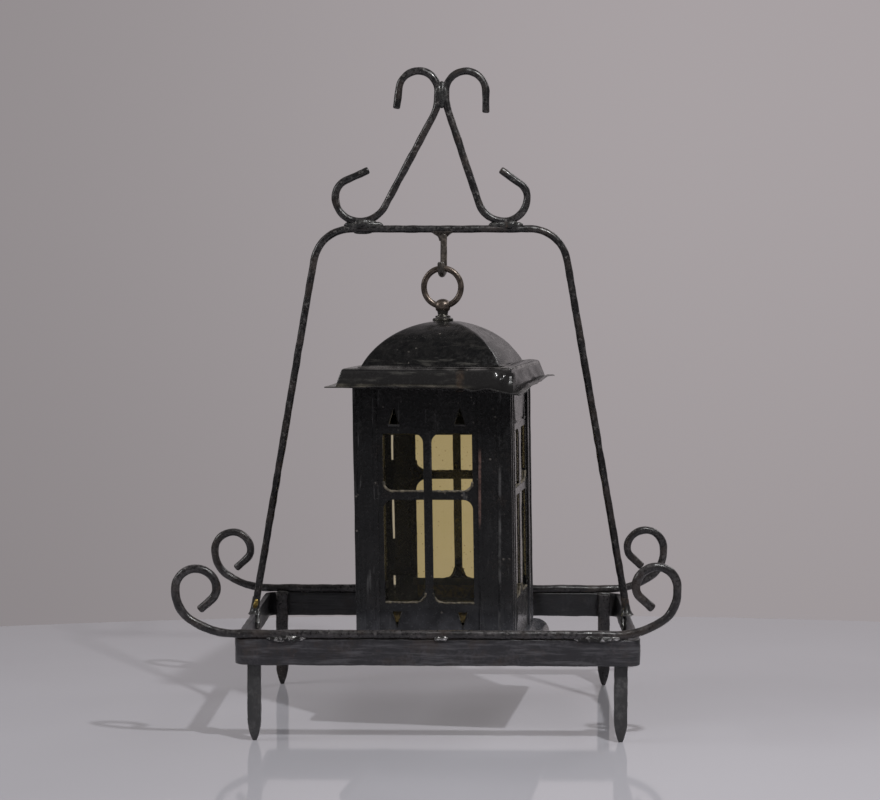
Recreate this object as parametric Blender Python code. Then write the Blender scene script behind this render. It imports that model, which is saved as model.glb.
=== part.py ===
"""A grave lantern that hangs by a ring from a scrolled wrought-iron stand.

Metres, +Z up. The origin is on the ground under the middle of the rear rail, the widest piece, which sits a
little to the left of the stand's middle. The front faces -Y.
The hook, the ring and the lantern hang turned a little clockwise from the stand, seen from above,
and the ring and the lantern lean a little to the right.
"""

import math

import bmesh
import bpy
from mathutils import Vector

# Clearances
SEAT_GAP = 0.0003
SLIDE_GAP = 0.0006
STUD_GAP = 0.0003

# Flat strip hoop and its pointed legs
HOOP_WIDTH = 0.306
HOOP_DEPTH = 0.220
HOOP_CORNER = 0.0093
STRIP_HEIGHT = 0.020
STRIP_THICKNESS = 0.004
GROUND_CLEARANCE = 0.059
LEG_WIDTH = 0.010
LEG_THICKNESS = 0.008
LEG_CHAMFER = 0.001
LEG_FROM_BEND = 0.0002
LEG_POINT_LENGTH = 0.015
LEG_POINT_WIDTH = 0.003

# Rails with a scroll at each end: (bend radius, degrees) before and after a straight rise
RAIL_DIAMETER = 0.0065
FRONT_SCROLL_INSET = 0.010
FRONT_RAIL_SHIFT = -0.0085
REAR_SCROLL_INSET = 0.0049
REAR_RAIL_SHIFT = -0.0037
SCROLL_SWEEP = ((0.060, 35), (0.0256, 55))
SCROLL_RISE = {"front": {"left": 0.0020, "right": 0.0044}, "rear": {"left": 0.0010, "right": 0.0038}}
SCROLL_CURL = ((0.0155, 180), (0.010, 48), 0.013)

# Arch over the lantern
ARCH_BAR = 0.0059
ARCH_RISE = 0.3100
ARCH_SHOULDER = 0.0972
ARCH_BEND = 0.030

# Crest of two scrolls that lean apart, the left one further
CREST_BAR = 0.0059
CREST_RISE = 0.0995
CREST_LEAN = {"left": 28.4, "right": 18.5}
CREST_SHIFT = 0.0012
CREST_PART_BEND = 0.035
CREST_TOP_BENDS = {"left": (0.0045, (0.0155, 172), 0.017), "right": (0.0035, (0.0160, 180), 0.017)}
CREST_FOOT_BEND = {"left": 0.0230, "right": 0.0210}
CREST_CURL = {"left": ((0.0195, 90), (0.0145, 66), 0.020), "right": ((0.0187, 90), (0.014, 55), 0.019)}

# Hook and ring
HANG_TURN = 8.5
HANG_LEAN = 0.9
HANG_SHIFT = 0.0017
HOOK_WIRE = 0.0045
HOOK_BEND = 0.0065
HOOK_DROP = 0.0332
HOOK_TIP = 0.0032
RING_WIRE = 0.0043
RING_RADIUS = 0.0150

# Ball eye, its washer and nut
EYE_BALL = 0.0104
EYE_HOLE = 0.0062
EYE_NECK = 0.0080
EYE_NECK_LENGTH = 0.0024
EYE_COLLAR = 0.0123
EYE_COLLAR_HEIGHT = 0.0014
EYE_SEAT = 0.0093
STUD_DIAMETER = 0.0048
STUD_END = 0.002
WASHER_DIAMETER = 0.0166
WASHER_THICKNESS = 0.0024
NUT_ACROSS = 0.008
NUT_THICKNESS = 0.0036

# Sheet-metal lantern body
SHEET = 0.0009
BODY_WIDTH = 0.124
BODY_HEIGHT = 0.214
LEFT_FLANGE = 0.019
RIGHT_FLANGE = 0.026
FOLD_RADIUS = 0.0015
LEFT_BEAD_FROM_CORNER = 0.0055
RIGHT_BEAD_FROM_CORNER = 0.009
BEAD_WIDTH = 0.005
BEAD_HEIGHT = 0.001
HEM_WIDTH = 0.0034
HEM_HEIGHT = 0.0007
PANEL_LAP = 0.004

# Lights and vents in each panel, the rear one cut less evenly, and the glass behind them
LIGHT_MARGIN = 0.0045
LIGHT_SILL = 0.0324
LOWER_LIGHT = 0.0803
UPPER_LIGHT = 0.0449
MUNTIN = 0.0066
LIGHT_FILLET = {"front": 0.0075, "right": 0.0075, "rear": 0.0095, "left": 0.0075}
LIGHTS_SHIFT = {"front": 0, "right": 0, "rear": 0.0036, "left": 0}
MUNTIN_LIFT = {"front": 0, "right": 0, "rear": 0.004, "left": 0}
VENT_WIDTH = 0.008
VENT_HEIGHT = 0.0132
VENT_SPREAD = 0.0258
VENT_TO_LIGHT = 0.007
PANE_THICKNESS = 0.002
PANE_LAP = 0.0034
PANE_STRIP = 0.0008
PANE_STRIP_LIP = 0.005

# Roof
DOME_HALF = 0.0552
DOME_RISE = 0.0345
DOME_FLAT = 0.009
LEDGE_LAP = 0.0035
ROOF_TURN = 2
ROOF_CLEARANCE = 0.0043
ROOF_EDGE_RADIUS = 0.002
SKIRT_HEIGHT = 0.0135
SKIRT_FLARE = 0.0045
LIP_WIDTH = 0.0073

# Push-fit base with the candle cup
BASE_OVERHANG = 0.012
BASE_SHOULDER = 0.0015
BASE_DROP = 0.0122
COLLAR_HEIGHT = 0.011
CUP_DIAMETER = 0.044
CUP_HEIGHT = 0.014
CUP_RIM = 0.0012
RIVET_HEAD = 0.009
RIVET_HEIGHT = 0.0018
RIVET_SHANK = 0.004

# Smoothness of round shapes
ARC_STEP = 15
BAR_ROUNDNESS = 3
TURNED_STEPS = 24
DOME_STEPS = 10

# Heights and places that follow from the sizes above
STRIP_TOP = GROUND_CLEARANCE + STRIP_HEIGHT
RAIL_Z = STRIP_TOP + SEAT_GAP + RAIL_DIAMETER / 2
RAIL_Y = (HOOP_DEPTH - STRIP_THICKNESS) / 2
ARCH_Z = STRIP_TOP + ARCH_RISE
ARCH_Y = HOOK_BEND * math.cos(math.radians(HANG_TURN))
CREST_FOOT_Z = ARCH_Z + ARCH_BAR / 2 + SEAT_GAP + CREST_BAR / 2
SADDLE_Z = ARCH_Z - ARCH_BAR / 2 - HOOK_DROP
RING_Z = SADDLE_Z + HOOK_WIRE / 2 + SEAT_GAP + RING_WIRE / 2 - RING_RADIUS
HOLE_REACH = math.sqrt(EYE_BALL**2 - EYE_HOLE**2) / 2
RING_CURVE = math.sqrt(RING_RADIUS**2 - HOLE_REACH**2)
EYE_LIFT = RING_RADIUS - RING_CURVE + RING_WIRE / 2 * RING_RADIUS / RING_CURVE + SEAT_GAP - EYE_HOLE / 2
EYE_Z = RING_Z - RING_RADIUS + EYE_LIFT

# Heights in the lantern, measured from the eye that it hangs by
WASHER_TOP = -EYE_SEAT - SEAT_GAP
CROWN = WASHER_TOP - WASHER_THICKNESS - SEAT_GAP
DOME_RADIUS = (DOME_HALF**2 + DOME_RISE**2) / (2 * DOME_RISE)
DOME_BASE = CROWN - DOME_RISE + DOME_RADIUS - math.sqrt(DOME_RADIUS**2 - DOME_FLAT**2)
LEDGE_TOP = DOME_BASE - SEAT_GAP
BODY_TOP = LEDGE_TOP - SHEET - SEAT_GAP
BODY_BOTTOM = BODY_TOP - BODY_HEIGHT
FLOOR_TOP = BODY_BOTTOM - SEAT_GAP

# Layers of a body wall, measured from the lantern's axis
BODY_HALF = BODY_WIDTH / 2
PANEL_OUTSIDE = BODY_HALF - SHEET - SEAT_GAP
PANE_OUTSIDE = PANEL_OUTSIDE - SHEET - SEAT_GAP
LIGHTS_LEFT = -BODY_HALF + LEFT_FLANGE + LIGHT_MARGIN
LIGHTS_RIGHT = BODY_HALF - RIGHT_FLANGE - LIGHT_MARGIN
LIGHTS_MIDDLE = (LIGHTS_LEFT + LIGHTS_RIGHT) / 2
LIGHTS_BOTTOM = BODY_BOTTOM + LIGHT_SILL
MUNTIN_BOTTOM = LIGHTS_BOTTOM + LOWER_LIGHT
LIGHTS_TOP = MUNTIN_BOTTOM + MUNTIN + UPPER_LIGHT

# Colour, roughness and metallic value of each finish
FINISHES = {
    "black_iron": ((0.022, 0.022, 0.024), 0.45, 0.6),
    "black_sheet": ((0.030, 0.030, 0.033), 0.40, 0.5),
    "bronze": ((0.17, 0.12, 0.08), 0.38, 1.0),
    "amber_glass": ((0.80, 0.62, 0.22), 0.05, 0.0),
    "tinned_sheet": ((0.45, 0.44, 0.42), 0.45, 1.0),
}
FACES = (("front", 0), ("right", 90), ("rear", 180), ("left", 270))
CORNERS = (("front_right", 0), ("rear_right", 90), ("rear_left", 180), ("front_left", 270))


# Scene helpers


def clear_scene():
    for obj in list(bpy.data.objects):
        bpy.data.objects.remove(obj, do_unlink=True)


def finish_material(name, finish):
    colour, roughness, metallic = FINISHES[finish]
    made = bpy.data.materials.new(name + "_finish")
    made.use_nodes = True
    shader = made.node_tree.nodes["Principled BSDF"]
    shader.inputs["Base Color"].default_value = (*colour, 1)
    shader.inputs["Roughness"].default_value = roughness
    shader.inputs["Metallic"].default_value = metallic
    return made


def add_piece(name, data, finish, parent, location=(0, 0, 0), rotation=(0, 0, 0)):
    """One named piece, placed in its parent's frame; the rotation is in degrees."""
    piece = bpy.data.objects.new(name, data)
    bpy.context.scene.collection.objects.link(piece)
    data.materials.append(finish_material(name, finish))
    piece.parent = parent
    piece.location = location
    piece.rotation_euler = [math.radians(angle) for angle in rotation]
    return piece


def add_pivot(name, parent, location, turn=0, lean=0):
    pivot = bpy.data.objects.new(name, None)
    bpy.context.scene.collection.objects.link(pivot)
    pivot.parent = parent
    pivot.location = location
    pivot.rotation_euler = (0, math.radians(lean), math.radians(turn))
    return pivot


# Flat paths


def arc(centre, radius, start, end):
    """Points of an arc between two angles in degrees, both ends included."""
    steps = max(2, math.ceil(abs(end - start) / ARC_STEP))
    angles = [math.radians(start + (end - start) * i / steps) for i in range(steps + 1)]
    return [(centre[0] + radius * math.cos(a), centre[1] + radius * math.sin(a)) for a in angles]


def bent_path(start, heading, moves, hand=1):
    """A bar bent flat from a start point: straight runs and (radius, degrees) bends to one hand."""
    points = [start]
    for move in moves:
        x, y = points[-1]
        if not isinstance(move, tuple):
            angle = math.radians(heading)
            points.append((x + move * math.cos(angle), y + move * math.sin(angle)))
            continue
        radius, degrees = move
        to_start = heading - 90 * hand
        angle = math.radians(to_start)
        centre = (x - radius * math.cos(angle), y - radius * math.sin(angle))
        points += arc(centre, radius, to_start, to_start + degrees * hand)[1:]
        heading += degrees * hand
    return points


def filleted_corner(before, corner, after, radius):
    """The arc that rounds one corner of a path."""
    corner = Vector(corner)
    back = (Vector(before) - corner).normalized()
    ahead = (Vector(after) - corner).normalized()
    half = back.angle(ahead) / 2
    centre = corner + (back + ahead).normalized() * radius / math.sin(half)
    first = corner + back * radius / math.tan(half) - centre
    last = corner + ahead * radius / math.tan(half) - centre
    start = math.degrees(math.atan2(first.y, first.x))
    turn = math.degrees(math.atan2(first.x * last.y - first.y * last.x, first.dot(last)))
    return arc(centre, radius, start, start + turn)


def mirrored(points):
    """A path and its mirror image across the middle, as one path that starts on the mirrored side."""
    return [(-x, y) for x, y in reversed(points)] + points


# Solids


def bar(name, points, diameter, finish, parent, closed=False, **place):
    """A round bar along points (x, y, z)."""
    curve = bpy.data.curves.new(name, "CURVE")
    curve.dimensions = "3D"
    curve.bevel_depth = diameter / 2
    curve.bevel_resolution = BAR_ROUNDNESS
    curve.use_fill_caps = True
    spline = curve.splines.new("POLY")
    spline.points.add(len(points) - 1)
    for point, place_of_point in zip(spline.points, points):
        point.co = (*place_of_point, 1)
    spline.use_cyclic_u = closed
    spline.use_smooth = True
    return add_piece(name, curve, finish, parent, **place)


def plate(name, loops, thickness, finish, parent, **place):
    """A flat plate in its own XY plane: the first loop is its outline, and the others are cut out of it."""
    curve = bpy.data.curves.new(name, "CURVE")
    curve.dimensions = "2D"
    curve.fill_mode = "BOTH"
    curve.extrude = thickness / 2
    for loop in loops:
        spline = curve.splines.new("POLY")
        spline.points.add(len(loop) - 1)
        for point, (x, y) in zip(spline.points, loop):
            point.co = (x, y, 0, 1)
        spline.use_cyclic_u = True
    return add_piece(name, curve, finish, parent, **place)


def spun(name, profile, steps, finish, parent, closed=True, **place):
    """A profile (half width, z) spun about Z, with flat sides that face the axes when there are 4 steps."""
    reach = 1 / math.cos(math.pi / steps)
    first = math.pi / steps
    mesh = bpy.data.meshes.new(name)
    bm = bmesh.new()
    verts = []
    for half, z in profile:
        verts.append(bm.verts.new((half * reach * math.cos(first), half * reach * math.sin(first), z)))
    ends = verts[1:] + verts[:1] if closed else verts[1:]
    edges = [bm.edges.new(pair) for pair in zip(verts, ends)]
    bmesh.ops.spin(
        bm, geom=verts + edges, cent=(0, 0, 0), axis=(0, 0, 1), angle=2 * math.pi, steps=steps, use_merge=True
    )
    bmesh.ops.remove_doubles(bm, verts=bm.verts, dist=1e-6)
    bmesh.ops.recalc_face_normals(bm, faces=bm.faces)
    bm.to_mesh(mesh)
    bm.free()
    if steps > 6:
        mesh.shade_smooth()
        mesh.set_sharp_from_angle(angle=math.radians(40))
    return add_piece(name, mesh, finish, parent, **place)


def square_sheet(name, profile, thickness, finish, parent, **place):
    """Sheet metal folded round a square: an open profile down the middle of the sheet, mitred at the corners."""
    piece = spun(name, profile, 4, finish, parent, closed=False, **place)
    shell = piece.modifiers.new("sheet", "SOLIDIFY")
    shell.thickness = thickness
    shell.offset = 0
    shell.use_even_offset = True
    return piece


def box(name, low, high, finish, parent, **place):
    mesh = bpy.data.meshes.new(name)
    bm = bmesh.new()
    bmesh.ops.create_cube(bm, size=1)
    for vert in bm.verts:
        vert.co = [a if side < 0 else b for side, a, b in zip(vert.co, low, high)]
    bm.to_mesh(mesh)
    bm.free()
    return add_piece(name, mesh, finish, parent, **place)


def stacked(name, sections, finish, parent, **place):
    """A solid through a stack of loops with equal counts of points, from the bottom up."""
    mesh = bpy.data.meshes.new(name)
    bm = bmesh.new()
    rings = [[bm.verts.new(point) for point in section] for section in sections]
    for below, above in zip(rings, rings[1:]):
        for i, vert in enumerate(below):
            after = (i + 1) % len(below)
            bm.faces.new((vert, below[after], above[after], above[i]))
    bm.faces.new(reversed(rings[0]))
    bm.faces.new(rings[-1])
    bm.to_mesh(mesh)
    bm.free()
    return add_piece(name, mesh, finish, parent, **place)


# Stand


def hoop(stand):
    """The flat strip bent into a rectangle with rounded corners, standing on edge."""
    middle = STRIP_THICKNESS / 2
    half_x, half_y = HOOP_WIDTH / 2 - middle, HOOP_DEPTH / 2 - middle
    radius = HOOP_CORNER - middle
    signs = ((1, 1, 0), (-1, 1, 90), (-1, -1, 180), (1, -1, 270))
    outline = []
    for across, along, start in signs:
        centre = (across * (half_x - radius), along * (half_y - radius))
        outline += arc(centre, radius, start, start + 90)
    mesh = bpy.data.meshes.new("base_hoop")
    bm = bmesh.new()
    verts = [bm.verts.new((x, y, GROUND_CLEARANCE)) for x, y in outline]
    edges = [bm.edges.new(pair) for pair in zip(verts, verts[1:] + verts[:1])]
    raised = bmesh.ops.extrude_edge_only(bm, edges=edges)["geom"]
    for item in raised:
        if isinstance(item, bmesh.types.BMVert):
            item.co.z = STRIP_TOP
    bmesh.ops.recalc_face_normals(bm, faces=bm.faces)
    bm.to_mesh(mesh)
    bm.free()
    piece = add_piece("base_hoop", mesh, "black_iron", stand)
    strip = piece.modifiers.new("strip", "SOLIDIFY")
    strip.thickness = STRIP_THICKNESS
    strip.offset = 0
    strip.use_even_offset = True


def chamfered_rectangle(width, depth, chamfer, z):
    x, y = width / 2, depth / 2
    corners = ((x, -y, 0, 1), (x, y, -1, 0), (-x, y, 0, -1), (-x, -y, 1, 0))
    points = []
    for corner_x, corner_y, into_x, into_y in corners:
        points.append((corner_x - chamfer * into_y, corner_y + chamfer * into_x, z))
        points.append((corner_x + chamfer * into_x, corner_y + chamfer * into_y, z))
    return points


def leg(name, side, front, stand):
    """A square bar drawn to a blunt point, welded inside the hoop."""
    point_chamfer = LEG_CHAMFER * LEG_POINT_WIDTH / LEG_WIDTH
    sections = (
        chamfered_rectangle(LEG_POINT_WIDTH, LEG_POINT_WIDTH, point_chamfer, 0),
        chamfered_rectangle(LEG_WIDTH, LEG_THICKNESS, LEG_CHAMFER, LEG_POINT_LENGTH),
        chamfered_rectangle(LEG_WIDTH, LEG_THICKNESS, LEG_CHAMFER, STRIP_TOP),
    )
    x = HOOP_WIDTH / 2 - HOOP_CORNER - LEG_FROM_BEND - LEG_WIDTH / 2
    y = HOOP_DEPTH / 2 - STRIP_THICKNESS - SEAT_GAP - LEG_THICKNESS / 2
    stacked(name, sections, "black_iron", stand, location=(side * x, front * y, 0))


def rail(along, half, shift, front, stand):
    """A round rod along the top of the hoop, curled up into a scroll at each end."""
    scrolls = {}
    for side, rise in SCROLL_RISE[along].items():
        scrolls[side] = bent_path((half, RAIL_Z), 0, (*SCROLL_SWEEP, rise, *SCROLL_CURL))
    points = [(-x, 0, z) for x, z in reversed(scrolls["left"])]
    points += [(x, 0, z) for x, z in scrolls["right"]]
    bar(f"rail_{along}", points, RAIL_DIAMETER, "black_iron", stand, location=(shift, front * RAIL_Y, 0))


def arch(stand):
    """One bar bent over the lantern, its feet on the side strips of the hoop."""
    foot_x = (HOOP_WIDTH - STRIP_THICKNESS) / 2
    lean = math.atan2(foot_x - ARCH_SHOULDER, ARCH_RISE)
    foot = (foot_x, STRIP_TOP + SEAT_GAP + ARCH_BAR / 2 * math.sin(lean))
    shoulder = (ARCH_SHOULDER, ARCH_Z)
    bend = filleted_corner((0, ARCH_Z), shoulder, foot, ARCH_BEND)
    points = [(x, 0, z) for x, z in mirrored(bend + [foot])]
    bar("handle_arch", points, ARCH_BAR, "black_iron", stand, location=(0, ARCH_Y, 0))


def crest_scroll(side, hand, stand):
    """One scroll of the crest: a hook over the top, a leaning shank and a curl that rests on the arch."""
    lean = CREST_LEAN[side]
    foot_bend = CREST_FOOT_BEND[side]
    slope = math.radians(lean)
    weld = (CREST_BAR / 2 + SEAT_GAP / 2, CREST_FOOT_Z + CREST_RISE)
    bends_drop = CREST_PART_BEND * math.sin(slope) + foot_bend * (1 - math.sin(slope))
    shank = (CREST_RISE - bends_drop) / math.cos(slope)
    upper = bent_path(weld, 90, CREST_TOP_BENDS[side], hand=-1)
    foot = ((CREST_PART_BEND, lean), shank, (foot_bend, 90 - lean))
    lower = bent_path(weld, 270, foot + CREST_CURL[side])
    points = [(hand * x, 0, z) for x, z in upper[::-1] + lower[1:]]
    bar("crest_scroll_" + side, points, CREST_BAR, "black_iron", stand, location=(CREST_SHIFT, ARCH_Y, 0))


def hook(stand):
    """A J-shaped hook under the arch, open to the front, that bends in its own turned plane."""
    shank = HOOK_DROP - SEAT_GAP - HOOK_BEND
    path = bent_path((HOOK_BEND, HOOK_BEND + shank), 270, (shank, (HOOK_BEND, 180), HOOK_TIP), hand=-1)
    points = [(0, y, z) for y, z in path]
    place = {"location": (HANG_SHIFT, 0, SADDLE_Z), "rotation": (0, 0, -HANG_TURN)}
    bar("lantern_hook", points, HOOK_WIRE, "black_iron", stand, **place)


def build_stand(stand):
    hoop(stand)
    for along, front in (("front", -1), ("rear", 1)):
        for across, side in (("left", -1), ("right", 1)):
            leg(f"leg_{along}_{across}", side, front, stand)
    rail("front", HOOP_WIDTH / 2 - FRONT_SCROLL_INSET, FRONT_RAIL_SHIFT, -1, stand)
    rail("rear", HOOP_WIDTH / 2 - REAR_SCROLL_INSET, REAR_RAIL_SHIFT, 1, stand)
    arch(stand)
    crest_scroll("left", -1, stand)
    crest_scroll("right", 1, stand)
    hook(stand)


# Ring and eye


def ring(pivot):
    path = arc((0, RING_Z - SADDLE_Z), RING_RADIUS, 0, 360)[:-1]
    bar("suspension_ring", [(x, 0, z) for x, z in path], RING_WIRE, "bronze", pivot, closed=True)


def eye(lantern):
    """The turned eye: a drilled ball on a waisted neck, a collar and a stud through the roof."""
    ball, neck, collar = EYE_BALL / 2, EYE_NECK / 2, EYE_COLLAR / 2
    neck_angle = math.degrees(math.acos(neck / ball))
    neck_top = -ball * math.sin(math.radians(neck_angle))
    neck_foot = neck_top - EYE_NECK_LENGTH
    collar_top = EYE_COLLAR_HEIGHT - EYE_SEAT
    stud_bottom = CROWN - SHEET - SEAT_GAP - NUT_THICKNESS - STUD_END
    profile = arc((0, 0), ball, 90, -neck_angle)
    profile[0] = (0, ball)
    profile += [(neck, neck_foot), (collar, collar_top), (collar, -EYE_SEAT)]
    profile += [(STUD_DIAMETER / 2, -EYE_SEAT), (STUD_DIAMETER / 2, stud_bottom), (0, stud_bottom)]
    piece = spun("roof_eye", profile, TURNED_STEPS, "bronze", lantern, closed=False)
    cutter_profile = ((0, EYE_BALL), (EYE_HOLE / 2, EYE_BALL), (EYE_HOLE / 2, -EYE_BALL), (0, -EYE_BALL))
    cutter = spun("eye_hole_cutter", cutter_profile, TURNED_STEPS, "bronze", lantern, closed=False)
    cutter.rotation_euler.y = math.radians(90)
    cutter.hide_render = True
    cutter.display_type = "WIRE"
    hole = piece.modifiers.new("hole", "BOOLEAN")
    hole.operation = "DIFFERENCE"
    hole.object = cutter


def washer_and_nut(lantern):
    bore = STUD_DIAMETER / 2 + STUD_GAP
    washer_bottom = WASHER_TOP - WASHER_THICKNESS
    edge = WASHER_DIAMETER / 2
    washer = (
        (bore, WASHER_TOP),
        (edge - WASHER_THICKNESS / 2, WASHER_TOP),
        (edge, WASHER_TOP - WASHER_THICKNESS / 2),
        (edge, washer_bottom),
        (bore, washer_bottom),
    )
    spun("eye_washer", washer, TURNED_STEPS, "bronze", lantern)
    nut_top = CROWN - SHEET - SEAT_GAP
    flat = NUT_ACROSS / 2
    nut = ((bore, nut_top), (flat, nut_top), (flat, nut_top - NUT_THICKNESS), (bore, nut_top - NUT_THICKNESS))
    spun("eye_nut", nut, 6, "bronze", lantern)


# Roof


def roof_dome(lantern):
    """Four curved gores that meet at hips, with a small flat crown for the eye."""
    middle = SHEET / 2
    radius = DOME_RADIUS - middle
    centre = DOME_BASE + DOME_RISE - DOME_RADIUS
    top_angle = math.acos(DOME_FLAT / DOME_RADIUS)
    foot_angle = math.asin((DOME_BASE + middle - centre) / radius)
    profile = [(STUD_DIAMETER / 2 + STUD_GAP, CROWN - middle)]
    for i in range(DOME_STEPS + 1):
        angle = top_angle + (foot_angle - top_angle) * i / DOME_STEPS
        profile.append((radius * math.cos(angle), centre + radius * math.sin(angle)))
    square_sheet("roof_dome", profile, SHEET, "black_sheet", lantern, rotation=(0, 0, -ROOF_TURN))


def roof_brim(lantern):
    """The flat ledge under the dome, the skirt that flares down from it and the thin lip."""
    middle = SHEET / 2
    ledge = LEDGE_TOP - middle
    lip = LEDGE_TOP - SKIRT_HEIGHT - middle
    skirt_top = BODY_HALF + ROOF_CLEARANCE
    skirt_foot = skirt_top + SKIRT_FLARE
    edge = filleted_corner((0, ledge), (skirt_top, ledge), (skirt_foot, lip), ROOF_EDGE_RADIUS)
    profile = [(DOME_HALF - LEDGE_LAP, ledge)] + edge
    profile += [(skirt_foot, lip), (skirt_foot + LIP_WIDTH, lip)]
    square_sheet("roof_brim", profile, SHEET, "black_sheet", lantern, rotation=(0, 0, -ROOF_TURN))


# Body walls


def bead(distance, width, height):
    """A half-round rib across a flange: (distance from the corner, height) along an arc."""
    half = width / 2
    radius = (half**2 + height**2) / (2 * height)
    spread = math.degrees(math.asin(half / radius))
    return arc((distance, height - radius), radius, 90 + spread, 90 - spread)


def flange_ribs(flange, bead_distance):
    """The ribs of one flange, from the corner outwards."""
    hem = bead(flange - HEM_WIDTH / 2, HEM_WIDTH, HEM_HEIGHT)
    return bead(bead_distance, BEAD_WIDTH, BEAD_HEIGHT) + hem


def corner_post(name, turn, lantern):
    """Sheet folded round a corner: a wide ribbed flange on one face and a narrow one on the next."""
    inside = BODY_HALF - SHEET
    right = flange_ribs(RIGHT_FLANGE, RIGHT_BEAD_FROM_CORNER)
    left = flange_ribs(LEFT_FLANGE, LEFT_BEAD_FROM_CORNER)
    fold_centre = BODY_HALF - FOLD_RADIUS
    outline = [(BODY_HALF - along, -BODY_HALF - up) for along, up in reversed(right)]
    outline += arc((fold_centre, -fold_centre), FOLD_RADIUS, -90, 0)
    outline += [(BODY_HALF + up, -BODY_HALF + along) for along, up in left]
    outline += [(inside, -BODY_HALF + LEFT_FLANGE), (inside, -inside), (BODY_HALF - RIGHT_FLANGE, -inside)]
    middle = BODY_BOTTOM + BODY_HEIGHT / 2
    place = {"location": (0, 0, middle), "rotation": (0, 0, turn)}
    plate(name, [outline], BODY_HEIGHT, "black_sheet", lantern, **place)


def light(left, bottom, right, top, hand, fillet):
    """One light of a panel, rounded at the two corners where muntins meet the panel's edge."""
    square = {1: ((left, bottom), (right, top)), -1: ((right, bottom), (left, top))}[hand]
    corners = [(left, bottom), (right, bottom), (right, top), (left, top)]
    outline = []
    for i, corner in enumerate(corners):
        if corner in square:
            outline.append(corner)
        else:
            outline += filleted_corner(corners[i - 1], corner, corners[(i + 1) % 4], fillet)
    return outline


def panel_lights(face):
    """Two tall lights under two short ones, parted by a cross of muntins."""
    half = MUNTIN / 2
    shift = LIGHTS_SHIFT[face]
    muntin = MUNTIN_BOTTOM + MUNTIN_LIFT[face]
    lower = (LIGHTS_BOTTOM, muntin)
    upper = (muntin + MUNTIN, LIGHTS_TOP)
    left = (LIGHTS_LEFT + shift, LIGHTS_MIDDLE + shift - half)
    right = (LIGHTS_MIDDLE + shift + half, LIGHTS_RIGHT + shift)
    lights = []
    for across, hand in ((left, 1), (right, -1)):
        for level, way in ((lower, hand), (upper, -hand)):
            lights.append(light(across[0], level[0], across[1], level[1], way, LIGHT_FILLET[face]))
    return lights


def panel_vents(face):
    """Two upright vents above the lights and two upside down below them."""
    half = VENT_WIDTH / 2
    vents = []
    for side in (-1, 1):
        x = LIGHTS_MIDDLE + LIGHTS_SHIFT[face] + side * VENT_SPREAD
        for start, up in ((LIGHTS_TOP + VENT_TO_LIGHT, 1), (LIGHTS_BOTTOM - VENT_TO_LIGHT, -1)):
            vents.append([(x - half, start), (x + half, start), (x, start + up * VENT_HEIGHT)])
    return vents


def wall_place(distance, turn):
    """Where a flat piece stands in the face that is turned this far from the front."""
    angle = math.radians(turn)
    return {
        "location": (distance * math.sin(angle), -distance * math.cos(angle), 0),
        "rotation": (90, 0, turn),
    }


def wall(face, turn, lantern):
    """One face between two posts: the cut panel, the pane behind it and the strips that hold the pane."""
    left = -BODY_HALF + LEFT_FLANGE - PANEL_LAP
    right = BODY_HALF - RIGHT_FLANGE + PANEL_LAP
    outline = [(left, BODY_BOTTOM), (right, BODY_BOTTOM), (right, BODY_TOP), (left, BODY_TOP)]
    loops = [outline] + panel_lights(face) + panel_vents(face)
    plate(f"panel_{face}", loops, SHEET, "black_sheet", lantern, **wall_place(PANEL_OUTSIDE - SHEET / 2, turn))
    turned = {"rotation": (0, 0, turn)}
    shift = LIGHTS_SHIFT[face]
    pane_low = (LIGHTS_LEFT + shift - PANE_LAP, -PANE_OUTSIDE, LIGHTS_BOTTOM - PANE_LAP)
    pane_high = (LIGHTS_RIGHT + shift + PANE_LAP, -PANE_OUTSIDE + PANE_THICKNESS, LIGHTS_TOP + PANE_LAP)
    box(f"pane_{face}", pane_low, pane_high, "amber_glass", lantern, **turned)
    middle = LIGHTS_MIDDLE + shift
    pane_strip(f"pane_sill_{face}", middle, pane_low[2], -1, turn, lantern)
    pane_strip(f"pane_cap_{face}", middle, pane_high[2], 1, turn, lantern)


def pane_strip(name, middle, edge, up, turn, lantern):
    """An angle strip soldered inside the panel, with a lip behind the edge of the pane."""
    near = -PANE_OUTSIDE
    lip_out = near + PANE_THICKNESS + SEAT_GAP
    lip_in = lip_out + PANE_STRIP
    shelf_in = edge + up * SEAT_GAP
    shelf_out = shelf_in + up * PANE_STRIP
    lip_end = shelf_in - up * PANE_STRIP_LIP
    outline = [(near, shelf_out), (lip_in, shelf_out), (lip_in, lip_end), (lip_out, lip_end)]
    outline += [(lip_out, shelf_in), (near, shelf_in)]
    length = LIGHTS_RIGHT - LIGHTS_LEFT + 2 * PANE_LAP
    angle = math.radians(turn)
    place = {
        "location": (middle * math.cos(angle), middle * math.sin(angle), 0),
        "rotation": (90, 0, 90 + turn),
    }
    plate(name, [outline], length, "tinned_sheet", lantern, **place)


# Base


def base_tray(base):
    """The floor of the lantern and the round-shouldered skirt that spreads below it."""
    middle = SHEET / 2
    floor = FLOOR_TOP - middle
    shoulder = BODY_HALF + BASE_SHOULDER
    reach = BASE_OVERHANG - BASE_SHOULDER - middle
    profile = [(0, floor)]
    for x, y in arc((0, 0), 1, 90, 0):
        profile.append((shoulder + reach * x, floor - BASE_DROP * (1 - y)))
    square_sheet("base_tray", profile, SHEET, "black_sheet", base, location=(0, 0, -FLOOR_TOP))


def base_collar(base):
    """The square collar on the floor that pushes up inside the panels."""
    half = PANEL_OUTSIDE - SHEET - SLIDE_GAP - SHEET / 2
    profile = [(half, SEAT_GAP), (half, COLLAR_HEIGHT)]
    square_sheet("base_collar", profile, SHEET, "tinned_sheet", base)


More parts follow.
